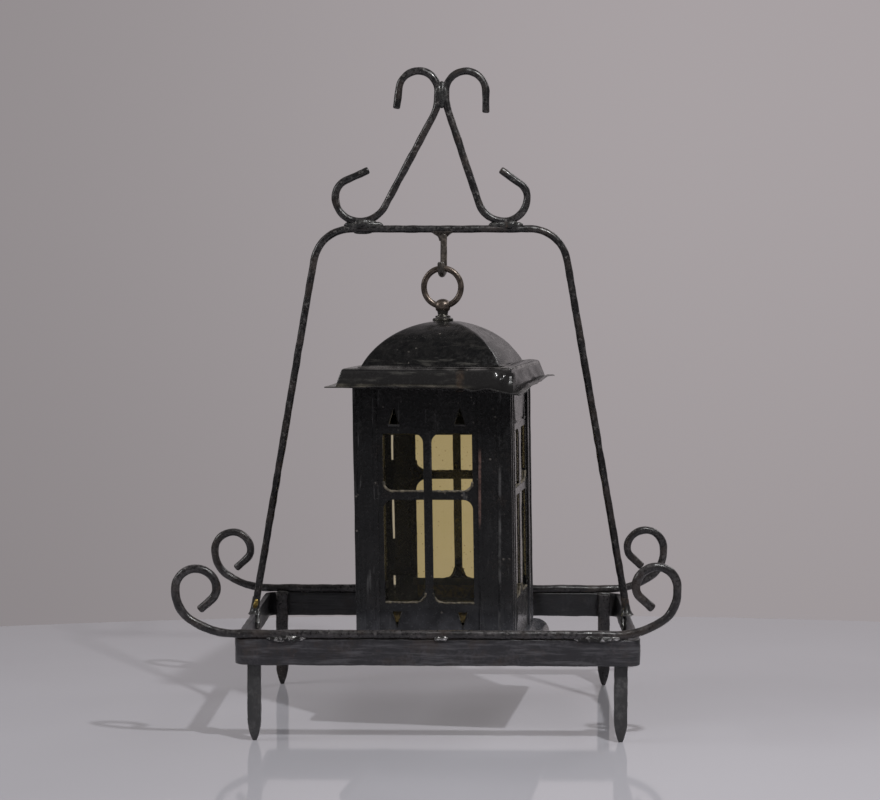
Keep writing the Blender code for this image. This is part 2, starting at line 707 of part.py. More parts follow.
def candle_cup(base):
    """The turned-up tin cup for a candle and the rivet in its middle."""
    bore = RIVET_SHANK / 2 + STUD_GAP
    outside = CUP_DIAMETER / 2
    inside = outside - SHEET
    top = SEAT_GAP + CUP_HEIGHT
    inner_floor = SEAT_GAP + SHEET
    cup = ((bore, inner_floor), (inside, inner_floor), (inside, top), (outside + CUP_RIM, top))
    cup += ((outside + CUP_RIM, top - SHEET), (outside, top - SHEET), (outside, SEAT_GAP), (bore, SEAT_GAP))
    spun("candle_cup", cup, TURNED_STEPS, "tinned_sheet", base)
    head_foot = inner_floor + SEAT_GAP
    head = RIVET_HEAD / 2
    rivet = ((0, head_foot + RIVET_HEIGHT), (head / 2, head_foot + RIVET_HEIGHT), (head, head_foot))
    rivet += ((RIVET_SHANK / 2, head_foot), (RIVET_SHANK / 2, SEAT_GAP), (0, SEAT_GAP))
    spun("cup_rivet", rivet, TURNED_STEPS, "tinned_sheet", base, closed=False)


def build_lantern(lantern):
    eye(lantern)
    washer_and_nut(lantern)
    roof_dome(lantern)
    roof_brim(lantern)
    for corner, turn in CORNERS:
        corner_post(f"post_{corner}", turn, lantern)
    for face, turn in FACES:
        wall(face, turn, lantern)


def build_base(base):
    base_tray(base)
    base_collar(base)
    candle_cup(base)


def main():
    clear_scene()
    stand = add_pivot("stand", None, (-REAR_RAIL_SHIFT, 0, 0))
    ring_pivot = add_pivot("ring_pivot", stand, (HANG_SHIFT, 0, SADDLE_Z), -HANG_TURN, -HANG_LEAN)
    lantern_pivot = add_pivot("lantern_pivot", ring_pivot, (0, 0, EYE_Z - SADDLE_Z))
    base_slide = add_pivot("base_slide", lantern_pivot, (0, 0, FLOOR_TOP))
    build_stand(stand)
    ring(ring_pivot)
    build_lantern(lantern_pivot)
    build_base(base_slide)


main()
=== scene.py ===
import math

import bmesh
import bpy
from mathutils import Matrix, Vector, noise


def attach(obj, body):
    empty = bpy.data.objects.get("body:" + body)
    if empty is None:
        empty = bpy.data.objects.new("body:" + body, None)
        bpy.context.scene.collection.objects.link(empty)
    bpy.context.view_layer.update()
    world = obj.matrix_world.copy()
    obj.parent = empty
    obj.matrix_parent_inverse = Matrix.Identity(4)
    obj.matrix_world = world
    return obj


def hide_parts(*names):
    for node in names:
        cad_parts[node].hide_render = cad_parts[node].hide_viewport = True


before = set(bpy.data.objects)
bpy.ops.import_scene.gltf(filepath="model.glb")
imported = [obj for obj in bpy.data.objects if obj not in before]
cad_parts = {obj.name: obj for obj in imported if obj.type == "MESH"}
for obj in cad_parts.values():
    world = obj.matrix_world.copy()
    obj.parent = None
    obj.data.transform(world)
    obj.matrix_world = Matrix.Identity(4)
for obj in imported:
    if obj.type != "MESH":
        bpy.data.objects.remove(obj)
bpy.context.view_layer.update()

# Sizes of the stand, in metres
STAND_X = 0.0037
HOOP_WIDTH = 0.306
HOOP_DEPTH = 0.220
HOOP_CORNER = 0.0093
STRIP_HEIGHT = 0.020
STRIP_THICKNESS = 0.004
STRIP_EDGE = 0.0009
STRIP_BOTTOM = 0.059
STRIP_TOP = STRIP_BOTTOM + STRIP_HEIGHT
LEG_WIDTH = 0.010
LEG_THICKNESS = 0.008
LEG_EDGE = 0.0014
LEG_POINT_LENGTH = 0.017
LEG_POINT_SHARE = 0.3
LEG_X = 0.1385
LEG_Y = 0.1017
RAIL_RADIUS = 0.00325
RAIL_Y = 0.108
RAIL_Z = 0.08255
RAILS = (("front", -1, 0.1430, -0.0085), ("rear", 1, 0.1481, -0.0037))
SCROLL_SWEEP = ((0.060, 35), (0.0256, 55))
SCROLL_RISE = {"front": {"left": 0.0020, "right": 0.0044}, "rear": {"left": 0.0010, "right": 0.0038}}
SCROLL_CURL = ((0.0155, 180), (0.010, 48), 0.013)
ARCH_RADIUS = 0.00295
ARCH_Y = 0.00643
ARCH_Z = 0.3890
ARCH_SHOULDER = 0.0972
ARCH_BEND = 0.030
ARCH_FOOT_X = 0.151
CREST_FOOT_Z = 0.3952
CREST_RISE = 0.0995
CREST_SHIFT = 0.0012
CREST_LEAN = {"left": 28.4, "right": 18.5}
CREST_PART_BEND = 0.035
CREST_TOP_BENDS = {"left": (0.0045, (0.0155, 172), 0.017), "right": (0.0035, (0.0160, 180), 0.017)}
CREST_FOOT_BEND = {"left": 0.0230, "right": 0.0210}
CREST_CURL = {"left": ((0.0195, 90), (0.0145, 66), 0.020), "right": ((0.0187, 90), (0.014, 55), 0.019)}
CREST_WELD_X = 0.0031
BAR_DINTS = 0.00042

# Sizes of the welds on the stand: runs are (start, end) or (start, end, radius) along the bar
WELD_TAPER = 3.0
RAIL_BEADS = ((-0.126, -0.101, 0.0027), (0.000, 0.007, 0.0022), (0.104, 0.138, 0.0023))
RAIL_SEAM_HALF = 0.140
RAIL_SEAM_WIDTH = 0.0024
RAIL_SEAM_HEIGHT = 0.0014
LEG_WELD_HALF = 0.004
LEG_WELD_RADIUS = 0.0018
FLARE_HEIGHT = 0.0135
FLARE_LEAN = 0.0022
FLARE_SKIN = 0.0003
FLARE_SPREAD_X = 0.0016
FLARE_SPREAD_Y = 0.0075
FLARE_SIDES = 24
FLARE_RINGS = 9
FOOT_WELD_RADIUS = 0.0022
BRAZE_RADIUS = 0.0017
CREST_FOOT_WELDS = ((-0.074, -0.049), (0.042, 0.063))
CREST_FOOT_WELD_RADIUS = 0.0034
CREST_UNDER_WELD = (-0.068, -0.056, 0.0014)
CROTCH_WELDS = ((-0.0024, -0.004, 0.007), (0, -0.0065, 0.0085), (0.0024, -0.004, 0.007))
CROTCH_WELD_RADIUS = 0.0033
HOOK_WELD_TOP_RADIUS = 0.0100
HOOK_WELD_FOOT_RADIUS = 0.0024
HOOK_WELD_FLARE = 0.0068
HOOK_WELD_RIM = 0.0008
HOOK_WELD_DROP = 0.0070
HOOK_WELD_FLATNESS = 0.42

# Sizes of the hook, the ring and the eye
HANG_TURN = -8.5
HANG_LEAN = -0.9
HANG_X = 0.0017
HOOK_RADIUS = 0.00225
HOOK_SWELL = 1.22
HOOK_BEND = 0.0065
HOOK_SHANK = 0.0264
HOOK_TIP = 0.0032
SADDLE_Z = 0.35285
RING_RADIUS = 0.0150
RING_WIRE = 0.00215
RING_SWELL = 1.12
RING_Z = 0.34255
EYE_Z = 0.32758
EYE_BALL = 0.0052
EYE_HOLE = 0.0031
EYE_BALL_STRETCH = 1.3
EYE_BALL_SWELL = 1.1
EYE_NECK = 0.0040
EYE_COLLAR = 0.00615
EYE_SEAT = EYE_Z - 0.0093
WASHER_RADIUS = 0.0083
WASHER_THICKNESS = 0.0024
WASHER_BORE = 0.0027
COLLAR_HEIGHT = 0.0016
NECK_FILLET = 0.0018
NEAR_AXIS = 0.0001

# Sizes of the lantern
SHEET = 0.0009
BODY_HALF = 0.062
BODY_BOTTOM = 0.06598
BODY_TOP = 0.27998
LEFT_FLANGE = 0.019
RIGHT_FLANGE = 0.026
FOLD_RADIUS = 0.0015
LEFT_BEAD = 0.0055
RIGHT_BEAD = 0.009
BEAD_WIDTH = 0.005
BEAD_HEIGHT = 0.001
HEM_WIDTH = 0.0034
HEM_HEIGHT = 0.0007
SPLIT_FROM_CORNER = 0.0069
SPLIT_WIDTH = 0.0018
SPLITS = ((0.0800, 0.1008), (0.1320, 0.1660), (0.1985, 0.2230))
PANEL_LAP = 0.004
PANEL_OUTSIDE = 0.0608
LIGHTS_LEFT = -0.0385
LIGHTS_RIGHT = 0.0315
LIGHTS_MIDDLE = (LIGHTS_LEFT + LIGHTS_RIGHT) / 2
LIGHTS_BOTTOM = 0.09838
MUNTIN = 0.0066
MUNTIN_BOTTOM = 0.17868
LIGHTS_TOP = 0.23018
LIGHT_FILLET = {"front": 0.0075, "right": 0.0075, "rear": 0.0095, "left": 0.0075}
LIGHTS_SHIFT = {"front": 0, "right": 0, "rear": 0.0036, "left": 0}
MUNTIN_LIFT = {"front": 0, "right": 0, "rear": 0.004, "left": 0}
VENT_WIDTH = 0.008
VENT_HEIGHT = 0.0132
VENT_SPREAD = 0.0258
VENT_TO_LIGHT = 0.007
PUTTY = 0.0009
CROWN = 0.31528
DOME_HALF = 0.0552
DOME_FLAT = 0.009
DOME_FOOT = 0.0024
DOME_BASE = 0.28148
DOME_RADIUS = 0.06141
LEDGE_TOP = 0.28118
LEDGE_LAP = 0.0035
ROOF_TURN = -2
ROOF_TOP_HALF = 0.0663
ROOF_FOOT_HALF = 0.0708
ROOF_EDGE_RADIUS = 0.002
SKIRT_HEIGHT = 0.0135
LIP_WIDTH = 0.0073
LIP_Z = LEDGE_TOP - SKIRT_HEIGHT - SHEET / 2
FLOOR_TOP = 0.06568
BASE_SHOULDER = 0.0635
BASE_REACH = 0.01005
BASE_DROP = 0.0122
CUP_RADIUS = 0.022
CUP_HEIGHT = 0.014
CUP_BEAD = 0.0010
CUP_BORE = 0.0023
CUP_CORNER = 0.001
FLOOR_START = 0.004
FLOOR_MIDDLE = 0.030

# Where the paint is rubbed off the front right post's hem, and where a painted highlight runs down its rib
WORN_HEM_X = 0.0356
WORN_HEM_Z = 0.188
RIB_HIGHLIGHT_X = 0.0511
# Where rust has run down the front of the brim
RUST_RUN_X = 0.0205

# Which of many ways the thin sheet is buckled, the same in every run
BUCKLE_SEED = 7

# Smoothness
ARC_STEP = 6
BAR_SIDES = 20
BAR_STEP = 0.0025
DOME_ROWS = 24
LEDGE_ROWS = 6
SKIRT_ROWS = 9
LIP_ROWS = 3

# The four sides and corners, and how far each is turned from the front one
FACES = (("front", 0), ("right", 90), ("rear", 180), ("left", 270))
CORNERS = (("front_right", 0), ("rear_right", 90), ("rear_left", 180), ("front_left", 270))


# Shader nodes


def feed(tree, socket, value):
    """Gives a socket a plain value, or links another node's socket to it."""
    if isinstance(value, bpy.types.NodeSocket):
        tree.links.new(value, socket)
    else:
        socket.default_value = value


def add_node(tree, kind, inputs=None, **settings):
    """A node with its settings, whose inputs take a value or another node's socket."""
    made = tree.nodes.new(kind)
    for name, value in settings.items():
        setattr(made, name, value)
    for name, value in (inputs or {}).items():
        feed(tree, made.inputs[name], value)
    return made


def noise_value(tree, position, scale, detail=4, roughness=0.55, stretch=(1, 1, 1)):
    """Noise from 0 to 1 in object space, drawn out along the axes where stretch is small."""
    mapped = add_node(tree, "ShaderNodeMapping", {"Vector": position, "Scale": stretch})
    inputs = {"Vector": mapped.outputs[0], "Scale": scale, "Detail": detail, "Roughness": roughness}
    return add_node(tree, "ShaderNodeTexNoise", inputs).outputs[0]


def ramp(tree, value, low, high, to_low=0.0, to_high=1.0):
    """A value's range from low to high, smoothly turned into another range."""
    inputs = {"Value": value, "From Min": low, "From Max": high, "To Min": to_low, "To Max": to_high}
    return add_node(tree, "ShaderNodeMapRange", inputs, interpolation_type="SMOOTHSTEP").outputs[0]


def blend_colour(tree, share, first, second):
    """The first colour, giving way to the second as the share goes from 0 to 1."""
    made = add_node(tree, "ShaderNodeMix", data_type="RGBA")
    values = {"Factor_Float": share, "A_Color": first, "B_Color": second}
    for socket in made.inputs:
        if socket.identifier in values:
            value = values[socket.identifier]
            feed(tree, socket, (*value, 1) if isinstance(value, tuple) else value)
    return next(socket for socket in made.outputs if socket.identifier == "Result_Color")


def maths(tree, operation, first, second):
    return add_node(tree, "ShaderNodeMath", {0: first, 1: second}, operation=operation).outputs[0]


def product(tree, first, *others):
    for other in others:
        first = maths(tree, "MULTIPLY", first, other)
    return first


def near(tree, value, middle, fade, full):
    """1 where a value is within full of the middle, falling to 0 at the distance fade."""
    offset = maths(tree, "ABSOLUTE", maths(tree, "SUBTRACT", value, middle), 0)
    return ramp(tree, offset, fade, full)


def axes(tree, vector):
    """The X, Y and Z of a vector."""
    return add_node(tree, "ShaderNodeSeparateXYZ", {0: vector}).outputs


def facing(tree):
    """The X, Y and Z of the way that the surface looks."""
    return axes(tree, add_node(tree, "ShaderNodeNewGeometry").outputs["Normal"])


def group_tree(name, inputs, outputs):
    """An empty shader group with named sockets; returns the tree, its inputs and its output node."""
    tree = bpy.data.node_groups.new(name, "ShaderNodeTree")
    for socket, kind, value in inputs:
        made = tree.interface.new_socket(socket, in_out="INPUT", socket_type=kind)
        if value is not None:
            made.default_value = value
    for socket, kind in outputs:
        tree.interface.new_socket(socket, in_out="OUTPUT", socket_type=kind)
    return tree, tree.nodes.new("NodeGroupInput").outputs, tree.nodes.new("NodeGroupOutput")


def worn_paint_group():
    """Old black paint: greyer rubbed patches, pale chips and rust where it is thin."""
    inputs = (
        ("Position", "NodeSocketVector", None),
        ("Paint", "NodeSocketColor", (0.0060, 0.0060, 0.0064, 1)),
        ("Rubbed", "NodeSocketColor", (0.026, 0.025, 0.025, 1)),
        ("Rub Amount", "NodeSocketFloat", 0.5),
        ("Chip Amount", "NodeSocketFloat", 0.3),
        ("Rust Amount", "NodeSocketFloat", 0.3),
        ("Gloss", "NodeSocketFloat", 0.30),
    )
    outputs = (
        ("Colour", "NodeSocketColor"),
        ("Roughness", "NodeSocketFloat"),
        ("Height", "NodeSocketFloat"),
    )
    tree, given, out = group_tree("worn_paint", inputs, outputs)
    where = given["Position"]
    broad = noise_value(tree, where, 55, detail=3)
    fine = noise_value(tree, where, 420)
    rubbed = product(tree, ramp(tree, broad, 0.38, 0.72), ramp(tree, fine, 0.35, 0.68), given["Rub Amount"])
    colour = blend_colour(tree, rubbed, given["Paint"], given["Rubbed"])
    rust_field = noise_value(tree, where, 38, detail=5, roughness=0.66)
    rust_edge = ramp(tree, fine, 0.40, 0.60)
    rust = product(tree, ramp(tree, rust_field, 0.56, 0.70), rust_edge, given["Rust Amount"])
    rust_colour = blend_colour(tree, fine, (0.050, 0.022, 0.010), (0.150, 0.070, 0.030))
    colour = blend_colour(tree, rust, colour, rust_colour)
    cells = add_node(tree, "ShaderNodeTexVoronoi", {"Vector": where, "Scale": 210})
    chip_gate = ramp(tree, noise_value(tree, where, 120, detail=2), 0.58, 0.66)
    chip_spots = ramp(tree, cells.outputs["Distance"], 0.24, 0.12)
    chip = product(tree, chip_spots, chip_gate, given["Chip Amount"])
    colour = blend_colour(tree, chip, colour, (0.21, 0.19, 0.17))
    roughness = maths(tree, "ADD", given["Gloss"], ramp(tree, fine, 0.3, 0.75, -0.05, 0.14))
    roughness = maths(tree, "ADD", roughness, maths(tree, "MULTIPLY", rust, 0.4))
    height = maths(tree, "SUBTRACT", maths(tree, "MULTIPLY", fine, 0.3), maths(tree, "MULTIPLY", chip, 0.5))
    tree.links.new(colour, out.inputs["Colour"])
    tree.links.new(roughness, out.inputs["Roughness"])
    tree.links.new(height, out.inputs["Height"])
    return tree


def settled_dust_group():
    """Grey dust that lies on faces that look up, thicker in patches."""
    inputs = (
        ("Position", "NodeSocketVector", None),
        ("Colour", "NodeSocketColor", (0.01, 0.01, 0.01, 1)),
        ("Amount", "NodeSocketFloat", 0.2),
    )
    tree, given, out = group_tree("settled_dust", inputs, (("Colour", "NodeSocketColor"),))
    patches = ramp(tree, noise_value(tree, given["Position"], 160, detail=5, roughness=0.7), 0.35, 0.7)
    upward = ramp(tree, facing(tree)["Z"], 0.25, 0.95)
    share = product(tree, upward, patches, given["Amount"])
    colour = blend_colour(tree, share, given["Colour"], (0.20, 0.185, 0.17))
    tree.links.new(colour, out.inputs["Colour"])
    return tree


WORN_PAINT = worn_paint_group()
SETTLED_DUST = settled_dust_group()


def new_material(name):
    """A material with its tree, its shader and the object coordinates."""
    made = bpy.data.materials.new(name)
    made.use_nodes = True
    tree = made.node_tree
    where = add_node(tree, "ShaderNodeTexCoord").outputs["Object"]
    return made, tree, tree.nodes["Principled BSDF"], where


def group_node(tree, group, inputs):
    return add_node(tree, "ShaderNodeGroup", inputs, node_tree=group)


def bump(tree, shader, height, distance):
    made = add_node(tree, "ShaderNodeBump", {"Height": height, "Distance": distance})
    tree.links.new(made.outputs[0], shader.inputs["Normal"])


def dress_shader(tree, shader, colour, roughness, height, relief):
    """What nearly every finish ends with: a colour, a roughness and a relief that vary."""
    tree.links.new(colour, shader.inputs["Base Color"])
    tree.links.new(roughness, shader.inputs["Roughness"])
    bump(tree, shader, height, relief)


def painted(name, texture, paint, dust, relief, marks=None):
    """Worn black paint over a surface texture, with marks in places that a function adds to the colour."""
    made, tree, shader, where = new_material(name)
    worn = group_node(tree, WORN_PAINT, {"Position": where, **paint})
    dusty = {"Position": where, "Colour": worn.outputs["Colour"], "Amount": dust}
    colour = group_node(tree, SETTLED_DUST, dusty).outputs["Colour"]
    if marks:
        colour = marks(tree, where, colour)
    height = maths(tree, "ADD", worn.outputs["Height"], texture(tree, where))
    dress_shader(tree, shader, colour, worn.outputs["Roughness"], height, relief)
    return made


def hammer_marks(tree, where):
    """Flat facets left by a hammer under the paint."""
    inputs = {"Vector": where, "Scale": 190, "Smoothness": 0.6}
    facets = add_node(tree, "ShaderNodeTexVoronoi", inputs, feature="SMOOTH_F1")
    return maths(tree, "MULTIPLY", facets.outputs["Distance"], 1.2)


def brush_streaks(tree, where):
    """Long streaks of a brush or a roller along the strip."""
    along_strip = noise_value(tree, where, 700, detail=4, stretch=(0.09, 0.09, 1))
    return maths(tree, "MULTIPLY", along_strip, 0.8)


def sheet_ripple(tree, where):
    """Slight ripples and runs of paint down a thin sheet."""
    runs = noise_value(tree, where, 330, detail=3, stretch=(1, 1, 0.12))
    return maths(tree, "MULTIPLY", runs, 0.5)


def bar_flecks(tree, where, colour):
    """Brownish stretches along a bar, and pale flecks where the paint has worn off its pits."""
    brown = ramp(tree, noise_value(tree, where, 48, detail=3), 0.46, 0.68, 0.0, 0.45)
    colour = blend_colour(tree, brown, colour, (0.062, 0.047, 0.040))
    flecks = ramp(tree, noise_value(tree, where, 380, detail=5, roughness=0.6), 0.54, 0.70)
    stretches = ramp(tree, noise_value(tree, where, 70, detail=2), 0.38, 0.62, 0.10, 0.60)
    return blend_colour(tree, product(tree, flecks, stretches), colour, (0.180, 0.170, 0.164))


def pale_streaks_and_rear_shade(tree, where, colour):
    """Paler streaks along the strip where it has been rubbed, brown patches, and painted shade that darkens
    the strip towards the rear, where the streaks also fade.
    """
    drawn_out = noise_value(tree, where, 420, detail=5, roughness=0.62, stretch=(0.10, 0.10, 1))
    streaks = ramp(tree, drawn_out, 0.46, 0.70)
    depth = axes(tree, where)["Y"]
    # The paler streaks fade towards the rear, as part of the painted shade there.
    fade_to_rear = ramp(tree, depth, 0.02, 0.08, 0.55, 0.10)
    colour = blend_colour(tree, product(tree, streaks, fade_to_rear), colour, (0.140, 0.137, 0.148))
    stains = ramp(tree, noise_value(tree, where, 60, detail=4, roughness=0.6), 0.52, 0.70, 0.0, 0.6)
    colour = blend_colour(tree, stains, colour, (0.050, 0.038, 0.033))
    # Painted shade: the strip darkens towards the rear.
    rear_shade = ramp(tree, depth, 0.02, 0.08, 0.0, 0.5)
    return blend_colour(tree, rear_shade, colour, (0.008, 0.008, 0.008))


def scuffs_and_painted_light(tree, where, colour):
    """Scuffs up and down the body, and painted light: a paler, bluer tone at its foot for the bounce off
    the table, and a paler tone on its right side, where the light falls.
    """
    scuffs = ramp(tree, noise_value(tree, where, 300, detail=4, stretch=(1, 1, 0.10)), 0.56, 0.72)
    stretches = ramp(tree, noise_value(tree, where, 32, detail=2), 0.48, 0.62, 0.05, 0.60)
    colour = blend_colour(tree, product(tree, scuffs, stretches), colour, (0.105, 0.103, 0.104))
    # Painted light: paler and bluer towards the foot, for the light that the table throws back up.
    low = ramp(tree, axes(tree, where)["Z"], 0.108, 0.072)
    patches = ramp(tree, noise_value(tree, where, 75, detail=4), 0.30, 0.65, 0.45, 0.90)
    colour = blend_colour(tree, product(tree, low, patches), colour, (0.078, 0.079, 0.088))
    # Painted light: paler on faces that look to the right, where the light falls.
    lit_right_side = ramp(tree, facing(tree)["X"], 0.80, 0.95)
    return blend_colour(tree, product(tree, lit_right_side, patches), colour, (0.085, 0.080, 0.079))


def hem_wear_and_highlight(tree, where, colour):
    """Paint rubbed off down to a reddish ground along one hem, and a painted highlight in broken streaks
    along the rib beside it.
    """
    colour = scuffs_and_painted_light(tree, where, colour)
    place = axes(tree, where)
    front = ramp(tree, place["Y"], -0.056, -0.062)
    hem = near(tree, place["X"], WORN_HEM_X, 0.0014, 0.0006)
    length = near(tree, place["Z"], WORN_HEM_Z, 0.034, 0.020)
    patches = ramp(tree, noise_value(tree, where, 260, detail=4), 0.30, 0.62, 0.15, 0.85)
    colour = blend_colour(tree, product(tree, hem, length, front, patches), colour, (0.150, 0.088, 0.074))
    # Painted highlight down the rib, broken into streaks.
    rib_highlight = near(tree, place["X"], RIB_HIGHLIGHT_X, 0.0014, 0.0004)
    rubs = ramp(tree, noise_value(tree, where, 120, detail=4, stretch=(1, 1, 0.5)), 0.42, 0.68, 0.0, 0.7)
    return blend_colour(tree, product(tree, rib_highlight, front, rubs), colour, (0.120, 0.118, 0.118))


def roof_grime_and_highlight(tree, where, colour):
    """Scuffs along the sheet, a greyer brim, a painted highlight along its edge, broken by rubs and
    stronger towards the right, pale wear along its lip, and a run of rust.
    """
    place = axes(tree, where)
    height = place["Z"]
    drawn_out = noise_value(tree, where, 150, detail=5, roughness=0.65, stretch=(0.30, 0.30, 1.6))
    scuffs = ramp(tree, drawn_out, 0.54, 0.74)
    low = ramp(tree, height, 0.306, 0.284, 0.15, 0.80)
    colour = blend_colour(tree, product(tree, low, scuffs), colour, (0.085, 0.082, 0.074))
    brim = ramp(tree, height, LEDGE_TOP + 0.001, LEDGE_TOP - 0.002, 0.0, 0.30)
    colour = blend_colour(tree, brim, colour, (0.050, 0.047, 0.046))
    rubs = ramp(tree, noise_value(tree, where, 120, detail=4, stretch=(0.5, 0.5, 1)), 0.40, 0.64, 0.05, 0.9)
    # Painted highlight along the ledge's edge, broken by rubs and stronger towards the right, where the
    # light falls.
    edge = near(tree, height, LEDGE_TOP - 0.0006, 0.0018, 0.0005)
    rightward = ramp(tree, place["X"], 0.0, 0.06, 0.45, 1.0)
    colour = blend_colour(tree, product(tree, edge, rubs, rightward), colour, (0.200, 0.188, 0.183))
    lip = near(tree, height, LIP_Z, 0.0017, 0.0006)
    leftward = ramp(tree, place["X"], 0.034, 0.016)
    colour = blend_colour(tree, product(tree, lip, rubs, leftward), colour, (0.105, 0.096, 0.078))
    spots = ramp(tree, noise_value(tree, where, 210, detail=4), 0.36, 0.60, 0.05, 0.42)
    run = near(tree, place["X"], RUST_RUN_X, 0.0042, 0.0010)
    length = near(tree, height, LIP_Z, 0.014, 0.009)
    front = ramp(tree, place["Y"], -0.055, -0.065)
    return blend_colour(tree, product(tree, run, length, front, spots), colour, (0.085, 0.054, 0.034))


def iron_paint(name, dark, rubbed, gloss, rub, chips, rust, dust, relief, texture=hammer_marks, marks=None):
    """Black paint on iron, between a dark and a rubbed colour."""
    paint = {
        "Paint": (*dark, 1),
        "Rubbed": (*rubbed, 1),
        "Gloss": gloss,
        "Rub Amount": rub,
        "Chip Amount": chips,
        "Rust Amount": rust,
    }
    return painted(name, texture, paint, dust, relief, marks)


def bar_paint(name, dark, rubbed):
    wear = {"gloss": 0.30, "rub": 0.85, "chips": 0.10, "rust": 0.16, "dust": 0.10, "relief": 0.00030}
    return iron_paint(name, dark, rubbed, **wear, marks=bar_flecks)


def leg_paint():
    wear = {"gloss": 0.38, "rub": 0.9, "chips": 0.10, "rust": 0.12, "dust": 0.06, "relief": 0.00028}
    return iron_paint("leg_paint", (0.046, 0.046, 0.047), (0.110, 0.107, 0.107), **wear)


def hook_paint():
    wear = {"gloss": 0.34, "rub": 0.9, "chips": 0.10, "rust": 0.25, "dust": 0.06, "relief": 0.0002}
    return iron_paint("hook_paint", (0.030, 0.0255, 0.0215), (0.135, 0.113, 0.094), **wear)


def strip_paint():
    wear = {"gloss": 0.33, "rub": 0.8, "chips": 0.12, "rust": 0.18, "dust": 0.12, "relief": 0.0003}
    looks = {"texture": brush_streaks, "marks": pale_streaks_and_rear_shade}
    return iron_paint("strip_paint", (0.029, 0.028, 0.032), (0.080, 0.077, 0.085), **wear, **looks)


def weld_paint():
    wear = {"gloss": 0.34, "rub": 0.9, "chips": 0.35, "rust": 0.5, "dust": 0.1, "relief": 0.0003}
    return iron_paint("weld_paint", (0.018, 0.018, 0.018), (0.110, 0.105, 0.099), **wear)


def sheet_paint(name, dust, marks):
    paint = {"Gloss": 0.18, "Rub Amount": 0.35, "Chip Amount": 0.45, "Rust Amount": 0.06}
    return painted(name, sheet_ripple, paint, dust, 0.00022, marks)


def roof_paint():
    paint = {"Gloss": 0.20, "Rub Amount": 0.25, "Chip Amount": 0.75, "Rust Amount": 0.03}
    made = painted("roof_paint", sheet_ripple, paint, 0.06, 0.00018, roof_grime_and_highlight)
    made.node_tree.nodes["Principled BSDF"].inputs["Specular IOR Level"].default_value = 0.31
    return made


def bare_weld():
    """Weld metal that the paint has left bare on its lumps."""
    made, tree, shader, where = new_material("bare_weld")
    patches = noise_value(tree, where, 240, detail=4, roughness=0.6)
    bare = ramp(tree, patches, 0.49, 0.64)
    colour = blend_colour(tree, bare, (0.014, 0.013, 0.012), (0.480, 0.470, 0.460))
    tree.links.new(ramp(tree, bare, 0, 1, 0.0, 0.85), shader.inputs["Metallic"])
    dress_shader(tree, shader, colour, ramp(tree, patches, 0.3, 0.7, 0.42, 0.26), patches, 0.0004)
    return made


def old_bronze(name, dark, bright):
    """Dark bronze, browner in patches and brighter where it is rubbed."""
    made, tree, shader, where = new_material(name)
    patches = noise_value(tree, where, 150, detail=4, roughness=0.5)
    fine = noise_value(tree, where, 600, detail=3)
    colour = blend_colour(tree, ramp(tree, patches, 0.35, 0.65), dark, bright)
    shader.inputs["Metallic"].default_value = 0.75
    dress_shader(tree, shader, colour, ramp(tree, fine, 0.3, 0.7, 0.30, 0.42), fine, 0.00006)
    return made


def amber_glass():
    """Drawn amber glass with slight ripples, a tint that varies and dark specks in patches."""
    made, tree, shader, where = new_material("amber_glass")
    patches = noise_value(tree, where, 40, detail=4)
    colour = blend_colour(tree, ramp(tree, patches, 0.3, 0.7), (1.0, 0.925, 0.640), (0.97, 0.895, 0.600))
    seeds = add_node(tree, "ShaderNodeTexVoronoi", {"Vector": where, "Scale": 260})
    specks = ramp(tree, seeds.outputs["Distance"], 0.17, 0.09)
    gate = ramp(tree, noise_value(tree, where, 70, detail=2), 0.50, 0.58)
    colour = blend_colour(tree, product(tree, specks, gate), colour, (0.40, 0.30, 0.12))
    tree.links.new(colour, shader.inputs["Base Color"])
    shader.inputs["Roughness"].default_value = 0.0
    shader.inputs["Transmission Weight"].default_value = 1.0
    shader.inputs["IOR"].default_value = 1.30
    bump(tree, shader, noise_value(tree, where, 60, detail=2, stretch=(1, 1, 0.4)), 0.0001)
    return made


def crumbled(name, dark, bare):
    """Crumbled putty, paler where it is bare and darker where it is filled; the same mottle paints warm
    light on the strips inside the panels.
    """
    made, tree, shader, where = new_material(name)
    crumbs = noise_value(tree, where, 320, detail=5, roughness=0.6)
    colour = blend_colour(tree, ramp(tree, crumbs, 0.36, 0.64), dark, bare)
    dress_shader(tree, shader, colour, ramp(tree, crumbs, 0.3, 0.7, 0.55, 0.85), crumbs, 0.0004)
    return made


def dark_stain_and_shade():
    """Old solder-stained tin strips, nearly as dark as the paint; the same dark finish paints shade in the
    gaps under the rails and behind the vents.
    """
    made, tree, shader, where = new_material("dark_stain_and_shade")
    stains = noise_value(tree, where, 120, detail=5, roughness=0.6)
    colour = blend_colour(tree, ramp(tree, stains, 0.35, 0.7), (0.012, 0.011, 0.009), (0.055, 0.044, 0.024))
    dress_shader(tree, shader, colour, ramp(tree, stains, 0.3, 0.7, 0.45, 0.65), stains, 0.0002)
    return made


def tinned_sheet():
    """Dull tinplate with spangle and brown stains."""
    made, tree, shader, where = new_material("tinned_sheet")
    spangle = add_node(tree, "ShaderNodeTexVoronoi", {"Vector": where, "Scale": 240})
    tone = add_node(tree, "ShaderNodeSeparateColor", {0: spangle.outputs["Color"]}).outputs[0]
    colour = blend_colour(tree, tone, (0.30, 0.29, 0.27), (0.42, 0.41, 0.39))
    stains = ramp(tree, noise_value(tree, where, 60, detail=6, roughness=0.65), 0.48, 0.68)
    colour = blend_colour(tree, stains, colour, (0.10, 0.065, 0.035))
    tree.links.new(ramp(tree, stains, 0, 1, 0.95, 0.3), shader.inputs["Metallic"])
    dress_shader(tree, shader, colour, ramp(tree, stains, 0, 1, 0.38, 0.7), stains, 0.0002)
    return made


